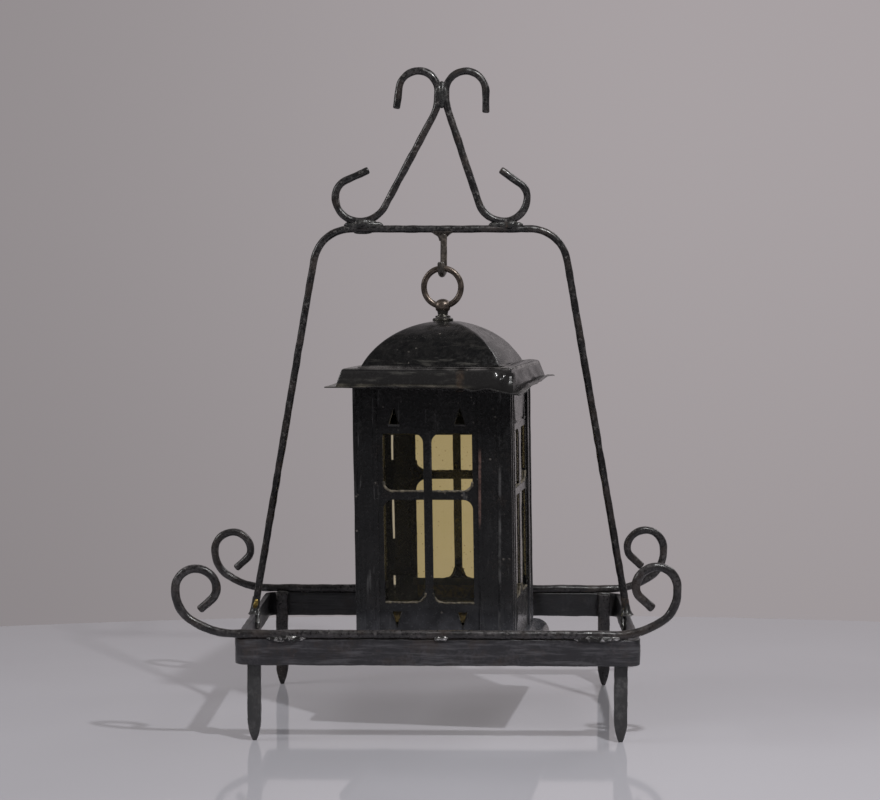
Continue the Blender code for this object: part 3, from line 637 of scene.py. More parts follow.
IRON = bar_paint("iron_paint", (0.020, 0.0185, 0.0195), (0.105, 0.096, 0.098))
# A darker copy of the iron paint for the arch and the crest: painted shade, holding down the bars that the
# near key lamp lights most.
SHADED_ARCH_PAINT = bar_paint("shaded_arch_paint", (0.010, 0.0095, 0.0100), (0.060, 0.055, 0.056))
LEG = leg_paint()
HOOK = hook_paint()
STRIP = strip_paint()
SHEET_PAINT = sheet_paint("sheet_paint", 0.10, scuffs_and_painted_light)
PANEL_PAINT = sheet_paint("panel_paint", 0.85, scuffs_and_painted_light)
POST_WEAR_AND_HIGHLIGHT = sheet_paint("post_wear_and_highlight_paint", 0.10, hem_wear_and_highlight)
ROOF_PAINT = roof_paint()
WELD = weld_paint()
BARE_WELD = bare_weld()
BRONZE = old_bronze("old_bronze", (0.080, 0.064, 0.054), (0.165, 0.132, 0.110))
BRAZE = old_bronze("braze_metal", (0.120, 0.080, 0.020), (0.420, 0.300, 0.090))
DARK_BRONZE = old_bronze("dark_bronze", (0.022, 0.021, 0.019), (0.060, 0.056, 0.048))
GLASS = amber_glass()
TIN = tinned_sheet()
STAIN_AND_SHADE = dark_stain_and_shade()
PUTTY_DIRT = crumbled("putty_dirt", (0.030, 0.026, 0.019), (0.185, 0.158, 0.114))
# The tawny colour is painted warm light, for the light that reaches the inside of the lantern through the
# amber panes.
WARM_LIGHT_PAINT = crumbled("painted_warm_light", (0.022, 0.016, 0.006), (0.125, 0.088, 0.026))


# Flat paths


def arc(centre, radius, start, end, step=ARC_STEP):
    """Points of an arc between two angles in degrees, both ends included."""
    steps = max(2, math.ceil(abs(end - start) / step))
    angles = [math.radians(start + (end - start) * i / steps) for i in range(steps + 1)]
    return [(centre[0] + radius * math.cos(a), centre[1] + radius * math.sin(a)) for a in angles]


def bent_path(start, heading, moves, hand=1):
    """A bar bent flat from a start point: straight runs and (radius, degrees) bends to one hand."""
    points = [start]
    for move in moves:
        x, y = points[-1]
        if not isinstance(move, tuple):
            angle = math.radians(heading)
            points.append((x + move * math.cos(angle), y + move * math.sin(angle)))
            continue
        radius, degrees = move
        to_start = heading - 90 * hand
        angle = math.radians(to_start)
        centre = (x - radius * math.cos(angle), y - radius * math.sin(angle))
        points += arc(centre, radius, to_start, to_start + degrees * hand)[1:]
        heading += degrees * hand
    return points


def filleted_corner(before, corner, after, radius):
    """The arc that rounds one corner of a path."""
    corner = Vector(corner)
    back = (Vector(before) - corner).normalized()
    ahead = (Vector(after) - corner).normalized()
    half = back.angle(ahead) / 2
    centre = corner + (back + ahead).normalized() * radius / math.sin(half)
    first = corner + back * radius / math.tan(half) - centre
    last = corner + ahead * radius / math.tan(half) - centre
    start = math.degrees(math.atan2(first.y, first.x))
    turn = math.degrees(math.atan2(first.x * last.y - first.y * last.x, first.dot(last)))
    return arc(centre, radius, start, start + turn)


def divided_run(first, last, parts):
    """The points that divide a straight run evenly, its first point left out."""
    shares = [i / parts for i in range(1, parts + 1)]
    return [tuple(a + (b - a) * share for a, b in zip(first, last)) for share in shares]


def mirrored(points):
    return [(-x, y) for x, y in reversed(points)] + points


def stations(points, step, closed=False):
    """A path of (x, y, z) points with its long runs divided evenly."""
    points = [Vector(point) for point in points]
    pairs = list(zip(points, points[1:] + points[:1])) if closed else list(zip(points, points[1:]))
    divided = []
    for first, last in pairs:
        parts = max(1, round((last - first).length / step))
        divided += [first.lerp(last, i / parts) for i in range(parts)]
    return divided if closed else divided + [points[-1]]


# Mesh tools

STAND_PLACE = Matrix.Translation((STAND_X, 0, 0))
SADDLE = Matrix.Translation((STAND_X + HANG_X, 0, SADDLE_Z))
TURN = Matrix.Rotation(math.radians(HANG_TURN), 4, "Z")
LEAN = Matrix.Rotation(math.radians(HANG_LEAN), 4, "Y")
HANGING_PLACE = SADDLE @ TURN @ LEAN @ Matrix.Translation((0, 0, -SADDLE_Z))


def new_piece(name, bm, material, body, nodes=(), sharp=40):
    """Makes a bmesh a piece that rides on a body, takes the given finish and stands for CAD nodes."""
    place = STAND_PLACE if body == "stand" else HANGING_PLACE
    bmesh.ops.transform(bm, matrix=place, verts=bm.verts)
    mesh = bpy.data.meshes.new(name)
    bm.to_mesh(mesh)
    bm.free()
    mesh.materials.append(material)
    mesh.shade_smooth()
    mesh.set_sharp_from_angle(angle=math.radians(sharp))
    piece = bpy.data.objects.new(name, mesh)
    bpy.context.scene.collection.objects.link(piece)
    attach(piece, body)
    if nodes:
        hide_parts(*nodes)
    return piece


def frames_along(path, normal, closed):
    """A frame at each station of a flat path: across it, along its plane's normal, and ahead."""
    normal = Vector(normal)
    count = len(path)
    made = []
    for i, point in enumerate(path):
        before = path[i - 1] if closed or i > 0 else point
        after = path[(i + 1) % count] if closed or i < count - 1 else point
        ahead = (after - before).normalized()
        across = normal.cross(ahead)
        made.append(Matrix.Translation(point) @ Matrix((across, normal, ahead)).transposed().to_4x4())
    return made


def extruded(bm, edges):
    """Extrudes a loop of edges; returns the vertices and the edges of the new loop."""
    geom = bmesh.ops.extrude_edge_only(bm, edges=edges)["geom"]
    verts = [item for item in geom if isinstance(item, bmesh.types.BMVert)]
    return verts, [item for item in geom if isinstance(item, bmesh.types.BMEdge)]


def close_end(bm, edges, rounding=0.0):
    """Fills an open end and rounds its rim."""
    bmesh.ops.contextual_create(bm, geom=edges)
    if rounding:
        bmesh.ops.bevel(
            bm, geom=edges, offset=rounding, segments=3, profile=0.5, affect="EDGES", material=-1
        )


def sweep(bm, section, path, normal, closed=False, rounding=0.0):
    """Extrudes a closed section from station to station along a flat path."""
    frames = frames_along(path, normal, closed)
    verts = [bm.verts.new(frames[0] @ Vector((u, v, 0))) for u, v in section]
    first = [bm.edges.new(pair) for pair in zip(verts, verts[1:] + verts[:1])]
    edges = first
    for here, there in zip(frames, frames[1:]):
        verts, edges = extruded(bm, edges)
        bmesh.ops.transform(bm, matrix=there @ here.inverted(), verts=verts)
    if closed:
        bmesh.ops.bridge_loops(bm, edges=first + edges)
    else:
        close_end(bm, first, rounding)
        close_end(bm, edges, rounding)
    bmesh.ops.recalc_face_normals(bm, faces=bm.faces)


def spun(bm, profile, axis=(0, 0, 1), centre=(0, 0, 0), steps=48):
    """Spins a closed profile of (x, z) points right round an axis."""
    verts = [bm.verts.new((x, 0, z)) for x, z in profile]
    edges = [bm.edges.new(pair) for pair in zip(verts, verts[1:] + verts[:1])]
    bmesh.ops.spin(
        bm, geom=verts + edges, cent=centre, axis=axis, angle=2 * math.pi, steps=steps, use_merge=True
    )
    bmesh.ops.remove_doubles(bm, verts=bm.verts, dist=1e-7)
    bmesh.ops.recalc_face_normals(bm, faces=bm.faces)


def round_section(radius, sides=BAR_SIDES):
    return arc((0, 0), radius, 0, 360, 360 / sides)[:-1]


def flat_section(width, height, edge, parts):
    """A rectangle with rounded edges whose long sides are divided into parts."""
    x, y = width / 2 - edge, height / 2 - edge
    outline = []
    for across, up, start in ((1, 1, 0), (-1, 1, 90), (-1, -1, 180), (1, -1, 270)):
        outline += arc((across * x, up * y), edge, start, start + 90, 30)
    right = [(width / 2, -y + 2 * y * i / parts) for i in range(1, parts)]
    left = [(-px, -py) for px, py in right]
    quarter = len(outline) // 2
    return outline[:quarter] + left + outline[quarter:] + right


def seed_shift(seed):
    """How far noise is shifted, so that no two pieces are beaten alike."""
    return Vector((seed * 1.7, seed * 2.3, seed * 3.1))


def hammer(bm, depth, grain, seed):
    """Beats a surface in and out along its normals."""
    bm.normal_update()
    shift = seed_shift(seed)
    for vert in bm.verts:
        vert.co += vert.normal * depth * noise.noise(vert.co * grain + shift)


def buckle(bm, depth, grain, seed):
    """Moves thin sheet to and fro as a whole, so that its two faces stay together."""
    shift = seed_shift(seed)
    for vert in bm.verts:
        vert.co += depth * noise.noise_vector(vert.co * grain + shift)


def turn_about_axis(bm, degrees):
    turn = Matrix.Rotation(math.radians(degrees), 3, "Z")
    bmesh.ops.rotate(bm, cent=(0, 0, 0), matrix=turn, verts=bm.verts)


# Stand


def iron_piece(name, bm, material, nodes=()):
    return new_piece(name, bm, material, "stand", nodes, sharp=60)


def bar(name, points, radius, normal, nodes, seed, material=IRON):
    """A hand-forged round bar with blunt ends."""
    bm = bmesh.new()
    sweep(bm, round_section(radius), stations(points, BAR_STEP), normal, rounding=radius * 0.45)
    hammer(bm, BAR_DINTS, 105, seed)
    hammer(bm, BAR_DINTS * 0.3, 330, seed + 5)
    return iron_piece(name, bm, material, nodes)


def strip_hoop():
    """The flat strip bent round four corners and beaten a little uneven."""
    middle = STRIP_THICKNESS / 2
    half_x, half_y = HOOP_WIDTH / 2 - middle, HOOP_DEPTH / 2 - middle
    radius = HOOP_CORNER - middle
    outline = []
    for across, along, start in ((1, 1, 0), (-1, 1, 90), (-1, -1, 180), (1, -1, 270)):
        centre = (across * (half_x - radius), along * (half_y - radius))
        outline += arc(centre, radius, start, start + 90, 15)
    path = [(x, y, STRIP_BOTTOM + STRIP_HEIGHT / 2) for x, y in outline]
    bm = bmesh.new()
    section = flat_section(STRIP_THICKNESS, STRIP_HEIGHT, STRIP_EDGE, 8)
    sweep(bm, section, stations(path, 0.004, closed=True), (0, 0, 1), closed=True)
    hammer(bm, 0.0004, 90, 3)
    hammer(bm, 0.00015, 380, 4)
    return iron_piece("strip_hoop", bm, STRIP, ("base_hoop",))


def stake_leg(along, front, across, side, seed):
    """A square bar drawn down to a rounded point."""
    bm = bmesh.new()
    foot = Vector((side * LEG_X, front * LEG_Y, 0))
    path = stations((foot, foot + Vector((0, 0, STRIP_TOP))), 0.0015)
    sweep(bm, flat_section(LEG_WIDTH, LEG_THICKNESS, LEG_EDGE, 5), path, (0, 1, 0), rounding=0.0006)
    for vert in bm.verts:
        rise = min(1, max(0, vert.co.z / LEG_POINT_LENGTH))
        share = LEG_POINT_SHARE + (1 - LEG_POINT_SHARE) * math.sin(math.pi / 2 * rise) ** 0.9
        vert.co.x = foot.x + (vert.co.x - foot.x) * share
        vert.co.y = foot.y + (vert.co.y - foot.y) * share
    hammer(bm, 0.0003, 150, seed)
    for vert in bm.verts:
        vert.co.z = max(0, vert.co.z)
    name = f"leg_{along}_{across}"
    # The rear legs take the darker iron paint: painted shade, for the shadow they stand in.
    paint = LEG if front < 0 else IRON
    return iron_piece("stake_" + name, bm, paint, (name,))


def scrolled_rail(along, front, half, shift, seed):
    scrolls = {}
    for side, rise in SCROLL_RISE[along].items():
        scrolls[side] = bent_path((half, RAIL_Z), 0, (*SCROLL_SWEEP, rise, *SCROLL_CURL))
    path = [(-x, z) for x, z in reversed(scrolls["left"])] + scrolls["right"]
    points = [(x + shift, front * RAIL_Y, z) for x, z in path]
    return bar(f"scrolled_rail_{along}", points, RAIL_RADIUS, (0, 1, 0), (f"rail_{along}",), seed)


def bent_arch():
    lean = math.atan2(ARCH_FOOT_X - ARCH_SHOULDER, ARCH_Z - STRIP_TOP)
    foot = (ARCH_FOOT_X, STRIP_TOP + 0.0003 + ARCH_RADIUS * math.sin(lean))
    bend = filleted_corner((0, ARCH_Z), (ARCH_SHOULDER, ARCH_Z), foot, ARCH_BEND)
    points = [(x, ARCH_Y, z) for x, z in mirrored(bend + [foot])]
    return bar("bent_arch", points, ARCH_RADIUS, (0, 1, 0), ("handle_arch",), 21, material=SHADED_ARCH_PAINT)


def curled_crest(side, hand):
    """One crest bar: a hook over the top, a leaning shank and a curl that rests on the arch."""
    lean = CREST_LEAN[side]
    foot_bend = CREST_FOOT_BEND[side]
    slope = math.radians(lean)
    weld = (CREST_WELD_X, CREST_FOOT_Z + CREST_RISE)
    bends_drop = CREST_PART_BEND * math.sin(slope) + foot_bend * (1 - math.sin(slope))
    shank = (CREST_RISE - bends_drop) / math.cos(slope)
    upper = bent_path(weld, 90, CREST_TOP_BENDS[side], hand=-1)
    foot = ((CREST_PART_BEND, lean), shank, (foot_bend, 90 - lean))
    lower = bent_path(weld, 270, foot + CREST_CURL[side])
    points = [(hand * x + CREST_SHIFT, ARCH_Y, z) for x, z in upper[::-1] + lower[1:]]
    nodes = (f"crest_scroll_{side}",)
    seed = 30 + hand
    return bar(f"curled_crest_{side}", points, ARCH_RADIUS, (0, 1, 0), nodes, seed, material=SHADED_ARCH_PAINT)


def bent_hook():
    """The J-shaped hook under the arch, open to the front."""
    moves = (HOOK_SHANK, (HOOK_BEND, 180), HOOK_TIP)
    path = bent_path((HOOK_BEND, HOOK_BEND + HOOK_SHANK), 270, moves, hand=-1)
    points = [TURN @ Vector((0, y, SADDLE_Z + z)) + Vector((HANG_X, 0, 0)) for y, z in path]
    normal = TURN @ Vector((1, 0, 0))
    return bar("bent_hook", points, HOOK_RADIUS * HOOK_SWELL, normal, ("lantern_hook",), 41, material=HOOK)


def weld_run(bm, first, last, radius, seed, lumps=0.22):
    """A bead of weld laid from one point to another: a lumpy run of metal that tapers off at its ends."""
    first, last = Vector(first), Vector(last)
    middle = (first + last) / 2
    half = (last - first).length / 2 + radius
    ahead = (last - first).normalized()
    bead = bmesh.ops.create_icosphere(bm, subdivisions=4, radius=1)
    for vert in bead["verts"]:
        share = vert.co.dot(ahead)
        across = vert.co - ahead * share
        reach = radius * math.sqrt(max(0, 1 - abs(share) ** WELD_TAPER))
        skin = across.normalized() * reach if across.length > 1e-6 else Vector((0, 0, 0))
        place = middle + ahead * share * half + skin
        swell = noise.noise(place * 190 + Vector((seed, 0, 0))) + 0.4 * noise.noise(place * 520)
        vert.co = place + skin * lumps * swell


def rail_beads():
    """The bright beads that join each rail to the strip."""
    bm = bmesh.new()
    seed = 50
    for front in (-1, 1):
        y = front * (RAIL_Y + 0.0012)
        for low, high, radius in RAIL_BEADS:
            ends = [(x, y, STRIP_TOP + 0.0008) for x in (low, high)]
            weld_run(bm, *ends, radius, seed, lumps=0.6)
            seed += 1
    return iron_piece("rail_beads", bm, BARE_WELD)


def rail_gap_shade():
    """A dark strip in the gap between each rail and the strip below it: painted shade."""
    bm = bmesh.new()
    for front in (-1, 1):
        path = [(x, front * RAIL_Y, STRIP_TOP) for x in (-RAIL_SEAM_HALF, RAIL_SEAM_HALF)]
        section = flat_section(RAIL_SEAM_WIDTH, RAIL_SEAM_HEIGHT, 0.0004, 2)
        sweep(bm, section, stations(path, 0.004), (0, 1, 0))
    return iron_piece("rail_gap_shade", bm, STAIN_AND_SHADE)


def foot_flare(bm, foot, side):
    """The weld that spreads from the arch's round bar down onto the edge of the strip."""
    verts = bmesh.ops.create_circle(bm, segments=FLARE_SIDES, radius=1)["verts"]
    first = list(dict.fromkeys(edge for vert in verts for edge in vert.link_edges))
    tube = list(verts)
    edges = first
    for _ in range(FLARE_RINGS):
        verts, edges = extruded(bm, edges)
        bmesh.ops.translate(bm, vec=(0, 0, 1 / FLARE_RINGS), verts=verts)
        tube += verts
    close_end(bm, first)
    close_end(bm, edges)
    for vert in tube:
        share = min(1, vert.co.z)
        spread = 1 - math.sqrt(1 - share**2)
        middle = foot + Vector((-side * FLARE_LEAN, 0, FLARE_HEIGHT)) * (1 - share)
        reach_x = ARCH_RADIUS + FLARE_SKIN + FLARE_SPREAD_X * spread
        reach_y = ARCH_RADIUS + FLARE_SKIN + FLARE_SPREAD_Y * spread
        out = Vector((vert.co.x * reach_x, vert.co.y * reach_y, 0))
        vert.co = middle + out * (1 + 0.16 * noise.noise((middle + out) * 260))
    faces = dict.fromkeys(face for vert in tube for face in vert.link_faces)
    bmesh.ops.recalc_face_normals(bm, faces=list(faces))


def arch_foot_welds(bm, side, seed):
    """The heavy fillets that hold an arch foot to the side strip."""
    x = side * ARCH_FOOT_X
    inner = side * (ARCH_FOOT_X - 0.0035)
    top = STRIP_TOP + 0.0005
    foot_flare(bm, Vector((x, ARCH_Y - 0.001, top - 0.001)), side)
    low = (inner, ARCH_Y - 0.012, top - 0.012)
    high = (inner, ARCH_Y - 0.004, top + 0.002)
    weld_run(bm, low, high, FOOT_WELD_RADIUS, seed, lumps=0.4)


def foot_braze():
    """The drops of braze metal on the front of the arch's left foot."""
    bm = bmesh.new()
    x = -ARCH_FOOT_X + 0.0014
    z = STRIP_TOP + 0.0080
    y = ARCH_Y - ARCH_RADIUS - 0.0012
    low = (x - 0.0006, y - 0.0010, z - 0.0035)
    high = (x + 0.0006, y, z + 0.0020)
    weld_run(bm, low, high, BRAZE_RADIUS, 91, lumps=0.6)
    return new_piece("foot_braze", bm, BRAZE, "stand", sharp=60)


def crest_welds(bm, seed):
    """The welds that fill the crotch of the crest and its two feet on the arch."""
    z = (ARCH_Z + CREST_FOOT_Z) / 2
    for low, high in CREST_FOOT_WELDS:
        weld_run(bm, (low, ARCH_Y, z), (high, ARCH_Y, z), CREST_FOOT_WELD_RADIUS, seed, lumps=0.4)
        heap = [(x, ARCH_Y, z + 0.001) for x in (low + 0.006, high - 0.005)]
        weld_run(bm, *heap, CREST_FOOT_WELD_RADIUS + 0.0006, seed + 1, lumps=0.4)
        seed += 2
    low, high, radius = CREST_UNDER_WELD
    under = [(x, ARCH_Y, ARCH_Z - 0.0026) for x in (low, high)]
    weld_run(bm, *under, radius, seed)
    crotch = CREST_FOOT_Z + CREST_RISE
    for shift, low, high in CROTCH_WELDS:
        ends = [(CREST_SHIFT + shift, ARCH_Y, crotch + z) for z in (low, high)]
        weld_run(bm, *ends, CROTCH_WELD_RADIUS, seed + 1, lumps=0.10)


def hook_weld():
    """The funnel of weld that hangs the hook under the arch."""
    top = ARCH_Z - ARCH_RADIUS + 0.0012
    profile = [(NEAR_AXIS, top), (HOOK_WELD_TOP_RADIUS, top)]
    for i in range(9):
        share = i / 8
        radius = HOOK_WELD_FOOT_RADIUS + HOOK_WELD_FLARE * (1 - share) ** 2.2
        profile.append((radius, top - HOOK_WELD_RIM - HOOK_WELD_DROP * share))
    profile.append((NEAR_AXIS, profile[-1][1]))
    bm = bmesh.new()
    spun(bm, profile)
    bmesh.ops.scale(bm, vec=(1, HOOK_WELD_FLATNESS, 1), verts=bm.verts)
    hammer(bm, 0.0006, 260, 17)
    bmesh.ops.translate(bm, vec=(HANG_X, ARCH_Y, 0), verts=bm.verts)
    return iron_piece("hook_weld", bm, HOOK)


def stand_welds():
    """Lumpy welds where the legs, the arch and the crest meet the strip and the bars."""
    bm = bmesh.new()
    seed = 60
    for front in (-1, 1):
        inner = front * (LEG_Y - LEG_THICKNESS / 2 + 0.0035)
        for side in (-1, 1):
            x = side * LEG_X
            ends = [(x + shift, inner, STRIP_TOP) for shift in (-LEG_WELD_HALF, LEG_WELD_HALF)]
            weld_run(bm, *ends, LEG_WELD_RADIUS, seed)
            seed += 1
    for side in (-1, 1):
        arch_foot_welds(bm, side, seed)
        seed += 3
    crest_welds(bm, seed)
    return iron_piece("stand_welds", bm, WELD)


def dress_stand():
    strip_hoop()
    seed = 10
    for along, front in (("front", -1), ("rear", 1)):
        for across, side in (("left", -1), ("right", 1)):
            stake_leg(along, front, across, side, seed)
            seed += 1
    for along, front, half, shift in RAILS:
        scrolled_rail(along, front, half, shift, seed)
        seed += 1
    bent_arch()
    curled_crest("left", -1)
    curled_crest("right", 1)
    bent_hook()
    hook_weld()
    stand_welds()
    foot_braze()
    rail_beads()
    rail_gap_shade()


# Ring and eye


def worn_ring():
    """The suspension ring, round in section and a little worn."""
    bm = bmesh.new()
    path = [Vector((x, 0, z)) for x, z in arc((0, RING_Z), RING_RADIUS, 0, 360, 4)[:-1]]
    sweep(bm, round_section(RING_WIRE * RING_SWELL), path, (0, 1, 0), closed=True)
    hammer(bm, 0.00006, 200, 7)
    return new_piece("worn_ring", bm, BRONZE, "ring", ("suspension_ring",), sharp=60)


def turned_eye():
    """The drilled ball."""
    bm = bmesh.new()
    rim = math.degrees(math.asin(EYE_HOLE / EYE_BALL))
    bore = EYE_BALL * math.cos(math.radians(rim))
    ball = arc((0, 0), EYE_BALL, rim, 180 - rim)
    ball += [(-bore * i / 3, EYE_HOLE) for i in (2, 1, 0, -1, -2)]
    ball = [(x * EYE_BALL_STRETCH, EYE_Z + z * EYE_BALL_SWELL) for x, z in ball]
    spun(bm, ball, axis=(1, 0, 0), centre=(0, 0, EYE_Z))
    return new_piece("turned_eye", bm, BRONZE, "lantern", ("roof_eye",))


def waisted_neck():
    """The neck and the collar that the ball stands on."""
    bm = bmesh.new()
    top = EYE_Z - EYE_BALL * 0.62
    waist = EYE_Z - EYE_BALL * 1.25
    collar = EYE_SEAT + COLLAR_HEIGHT
    profile = [(NEAR_AXIS, top), (EYE_BALL * 0.90, top), (EYE_NECK, waist)]
    profile += arc((EYE_NECK + NECK_FILLET, waist), NECK_FILLET, 180, 262)
    profile += [(EYE_COLLAR - 0.0004, collar), (EYE_COLLAR, collar - 0.0005)]
    profile += [(EYE_COLLAR, EYE_SEAT), (NEAR_AXIS, EYE_SEAT)]
    spun(bm, profile)
    return new_piece("waisted_neck", bm, DARK_BRONZE, "lantern")


def domed_washer():
    bm = bmesh.new()
    top = EYE_SEAT - 0.0003
    bottom = top - WASHER_THICKNESS
    corner = WASHER_THICKNESS / 2
    profile = [(WASHER_BORE, bottom), (WASHER_BORE, top)]
    profile += arc((WASHER_RADIUS - corner, top - corner), corner, 90, 0, 15)
    profile.append((WASHER_RADIUS, bottom))
    spun(bm, profile)
    hammer(bm, 0.00012, 300, 9)
    return new_piece("domed_washer", bm, DARK_BRONZE, "lantern", ("eye_washer",))


# Lantern


def half_width(spot):
    return max(abs(spot.x), abs(spot.y))


def is_hip(edge):
    """Whether an edge runs down one corner of a square fold."""
    first, last = (vert.co for vert in edge.verts)
    return first.x * last.x > 0 and first.y * last.y > 0


def is_side(edge):
    """Whether an edge runs level along one side of a square fold."""
    first, last = (vert.co for vert in edge.verts)
    level = abs(half_width(first) - half_width(last)) < 1e-5 and abs(first.z - last.z) < 1e-6
    return level and edge.calc_length() > 0.006


def folded_square(profile, hip, divide):
    """Sheet folded round a square along a profile of (half width, z), with soft hips and divided sides."""
    bm = bmesh.new()
    half, z = profile[0]
    start = Matrix.Translation((0, 0, z)) @ Matrix.Rotation(math.radians(45), 4, "Z")
    bmesh.ops.create_circle(bm, cap_ends=False, segments=4, radius=half * math.sqrt(2), matrix=start)
    edges = list(bm.edges)
    for (last_half, last_z), (half, z) in zip(profile, profile[1:]):
        verts, edges = extruded(bm, edges)
        scale = half / last_half
        bmesh.ops.scale(bm, vec=(scale, scale, 1), verts=verts)
        bmesh.ops.translate(bm, vec=(0, 0, z - last_z), verts=verts)
    hips = [edge for edge in bm.edges if is_hip(edge)]
    bmesh.ops.bevel(bm, geom=hips, offset=hip, segments=2, profile=0.5, affect="EDGES", material=-1)
    sides = [edge for edge in bm.edges if is_side(edge)]
    bmesh.ops.subdivide_edges(bm, edges=sides, cuts=divide, use_grid_fill=True)
    bmesh.ops.recalc_face_normals(bm, faces=bm.faces)
    return bm


def push(bm, centre, spread, move):
    """A dent: moves what lies near a point, less the further it is."""
    for vert in bm.verts:
        offset = vert.co - Vector(centre)
        reach = sum((offset[i] / spread[i]) ** 2 for i in range(3))
        vert.co += Vector(move) * math.exp(-reach)


def knock_side(bm, depth):
    """Small knocks and rubs drawn out along the roof's right side."""
    bm.normal_update()
    for vert in bm.verts:
        x, y, z = vert.co
        share = min(1, max(0, (x - abs(y)) / 0.010))
        broad = noise.noise(Vector((x * 110, y * 45, z * 150)))
        fine = noise.noise(Vector((x * 260, y * 90, z * 330)))
        vert.co += vert.normal * depth * share * (broad + 0.5 * fine)


def sheet_piece(name, bm, material, body, nodes):
    """A folded sheet given its thickness."""
    piece = new_piece(name, bm, material, body, nodes, sharp=35)
    shell = piece.modifiers.new("thickness", "SOLIDIFY")
    shell.thickness = SHEET
    shell.offset = 0
    return piece


def dent_gore(bm):
    """A shallow dent in the dome's right gore, and knocks at its rear foot."""
    push(bm, (0.040, -0.010, DOME_BASE + 0.012), (0.016, 0.012, 0.010), (-0.0010, 0, -0.0006))
    push(bm, (0.051, 0.036, DOME_BASE + 0.005), (0.004, 0.006, 0.004), (-0.0026, 0, -0.0004))
    push(bm, (0.053, 0.028, DOME_BASE + 0.002), (0.004, 0.003, 0.004), (-0.0016, 0, 0.0006))
    push(bm, (0.049, 0.044, DOME_BASE + 0.008), (0.004, 0.003, 0.003), (-0.0012, 0, -0.0006))


def gored_dome():
    """Four curved gores that meet at hips under the eye."""
    middle = SHEET / 2
    radius = DOME_RADIUS - middle
    centre = CROWN - math.sqrt(DOME_RADIUS**2 - DOME_FLAT**2)
    top_angle = math.acos(DOME_FLAT / DOME_RADIUS)
    foot_angle = math.asin((DOME_BASE + DOME_FOOT - centre) / radius)
    profile = [(0.003, CROWN - middle)]
    for i in range(DOME_ROWS + 1):
        angle = top_angle + (foot_angle - top_angle) * i / DOME_ROWS
        profile.append((radius * math.cos(angle), centre + radius * math.sin(angle)))
    corner = (profile[-1][0] + DOME_FOOT * 0.5, LEDGE_TOP + 0.0002)
    end = (corner[0] + DOME_FOOT, corner[1])
    profile += filleted_corner(profile[-1], corner, end, DOME_FOOT * 0.6) + [end]
    bm = folded_square(profile, 0.0010, 36)
    buckle(bm, 0.0003, 30, 3)
    knock_side(bm, 0.0008)
    dent_gore(bm)
    turn_about_axis(bm, ROOF_TURN)
    return sheet_piece("gored_dome", bm, ROOF_PAINT, "lantern", ("roof_dome",))


def droop_brim(bm, lip):
    """The front lip sags in waves towards its right corner, which is knocked down and in."""
    front = -ROOF_FOOT_HALF - LIP_WIDTH
    push(bm, (0.080, front, lip), (0.022, 0.030, 0.009), (-0.0034, 0.0014, -0.0062))
    push(bm, (0.052, front, lip), (0.026, 0.035, 0.008), (0, 0, -0.0020))
    push(bm, (0.038, front, lip), (0.006, 0.035, 0.006), (0, 0, -0.0022))
    push(bm, (0.051, front, lip), (0.006, 0.035, 0.006), (0, 0, 0.0012))


def crumple_corner(bm, lip):
    """Creases in the skirt beside its front right corner."""
    front = -ROOF_FOOT_HALF
    push(bm, (0.066, front + 0.002, lip + 0.008), (0.0030, 0.005, 0.005), (-0.0016, 0.0040, 0))
    push(bm, (0.061, front + 0.002, lip + 0.005), (0.0022, 0.004, 0.005), (0, -0.0026, 0.0010))
    push(bm, (0.057, front + 0.002, lip + 0.010), (0.0030, 0.004, 0.003), (0, 0.0028, -0.0010))
    push(bm, (0.069, front + 0.001, lip + 0.003), (0.0020, 0.003, 0.003), (0, -0.0026, 0))


def wave_sides(bm, lip):
    """Waves in the lip at both sides, and two rear corners of the ledge that stand up a little."""
    push(bm, (0.078, 0.045, lip), (0.006, 0.030, 0.006), (0, 0, 0.0022))
    push(bm, (0.078, -0.02, lip), (0.006, 0.016, 0.006), (0, 0, -0.0012))
    push(bm, (-0.078, -0.03, lip), (0.006, 0.02, 0.006), (0, 0, 0.0010))
    push(bm, (-0.060, 0.060, LEDGE_TOP), (0.006, 0.006, 0.003), (0, 0, 0.0010))
    push(bm, (0.060, 0.060, LEDGE_TOP), (0.005, 0.006, 0.003), (0, 0, 0.0010))


def dented_brim():
    """The ledge, the flared skirt and the thin lip, bent where the roof has been knocked."""
    middle = SHEET / 2
    ledge = LEDGE_TOP - middle
    lip = LIP_Z
    edge = filleted_corner((0, ledge), (ROOF_TOP_HALF, ledge), (ROOF_FOOT_HALF, lip), ROOF_EDGE_RADIUS)
    inside = DOME_HALF - LEDGE_LAP
    profile = [(inside, ledge)]
    profile += divided_run(profile[-1], edge[0], LEDGE_ROWS) + edge[1:]
    profile += divided_run(profile[-1], (ROOF_FOOT_HALF, lip), SKIRT_ROWS)
    profile += divided_run(profile[-1], (ROOF_FOOT_HALF + LIP_WIDTH, lip), LIP_ROWS)
    bm = folded_square(profile, 0.0008, 90)
    buckle(bm, 0.0004, 40, 8)
    knock_side(bm, 0.0010)
    droop_brim(bm, lip)
    crumple_corner(bm, lip)
    wave_sides(bm, lip)
    turn_about_axis(bm, ROOF_TURN)
    return sheet_piece("dented_brim", bm, ROOF_PAINT, "lantern", ("roof_brim",))


def rib(distance, width, height):
    """A half-round rib across a flange: (distance from the corner, height) along an arc."""
    half = width / 2
    radius = (half**2 + height**2) / (2 * height)
    spread = math.degrees(math.asin(half / radius))
    return arc((distance, height - radius), radius, 90 + spread, 90 - spread, 8)


def rib_and_hem(bead, flange):
    """What is pressed along a flange: a rib near the corner and a hem at the flange's edge."""
    hem = rib(flange - HEM_WIDTH / 2, HEM_WIDTH, HEM_HEIGHT)
    return rib(bead, BEAD_WIDTH, BEAD_HEIGHT) + hem


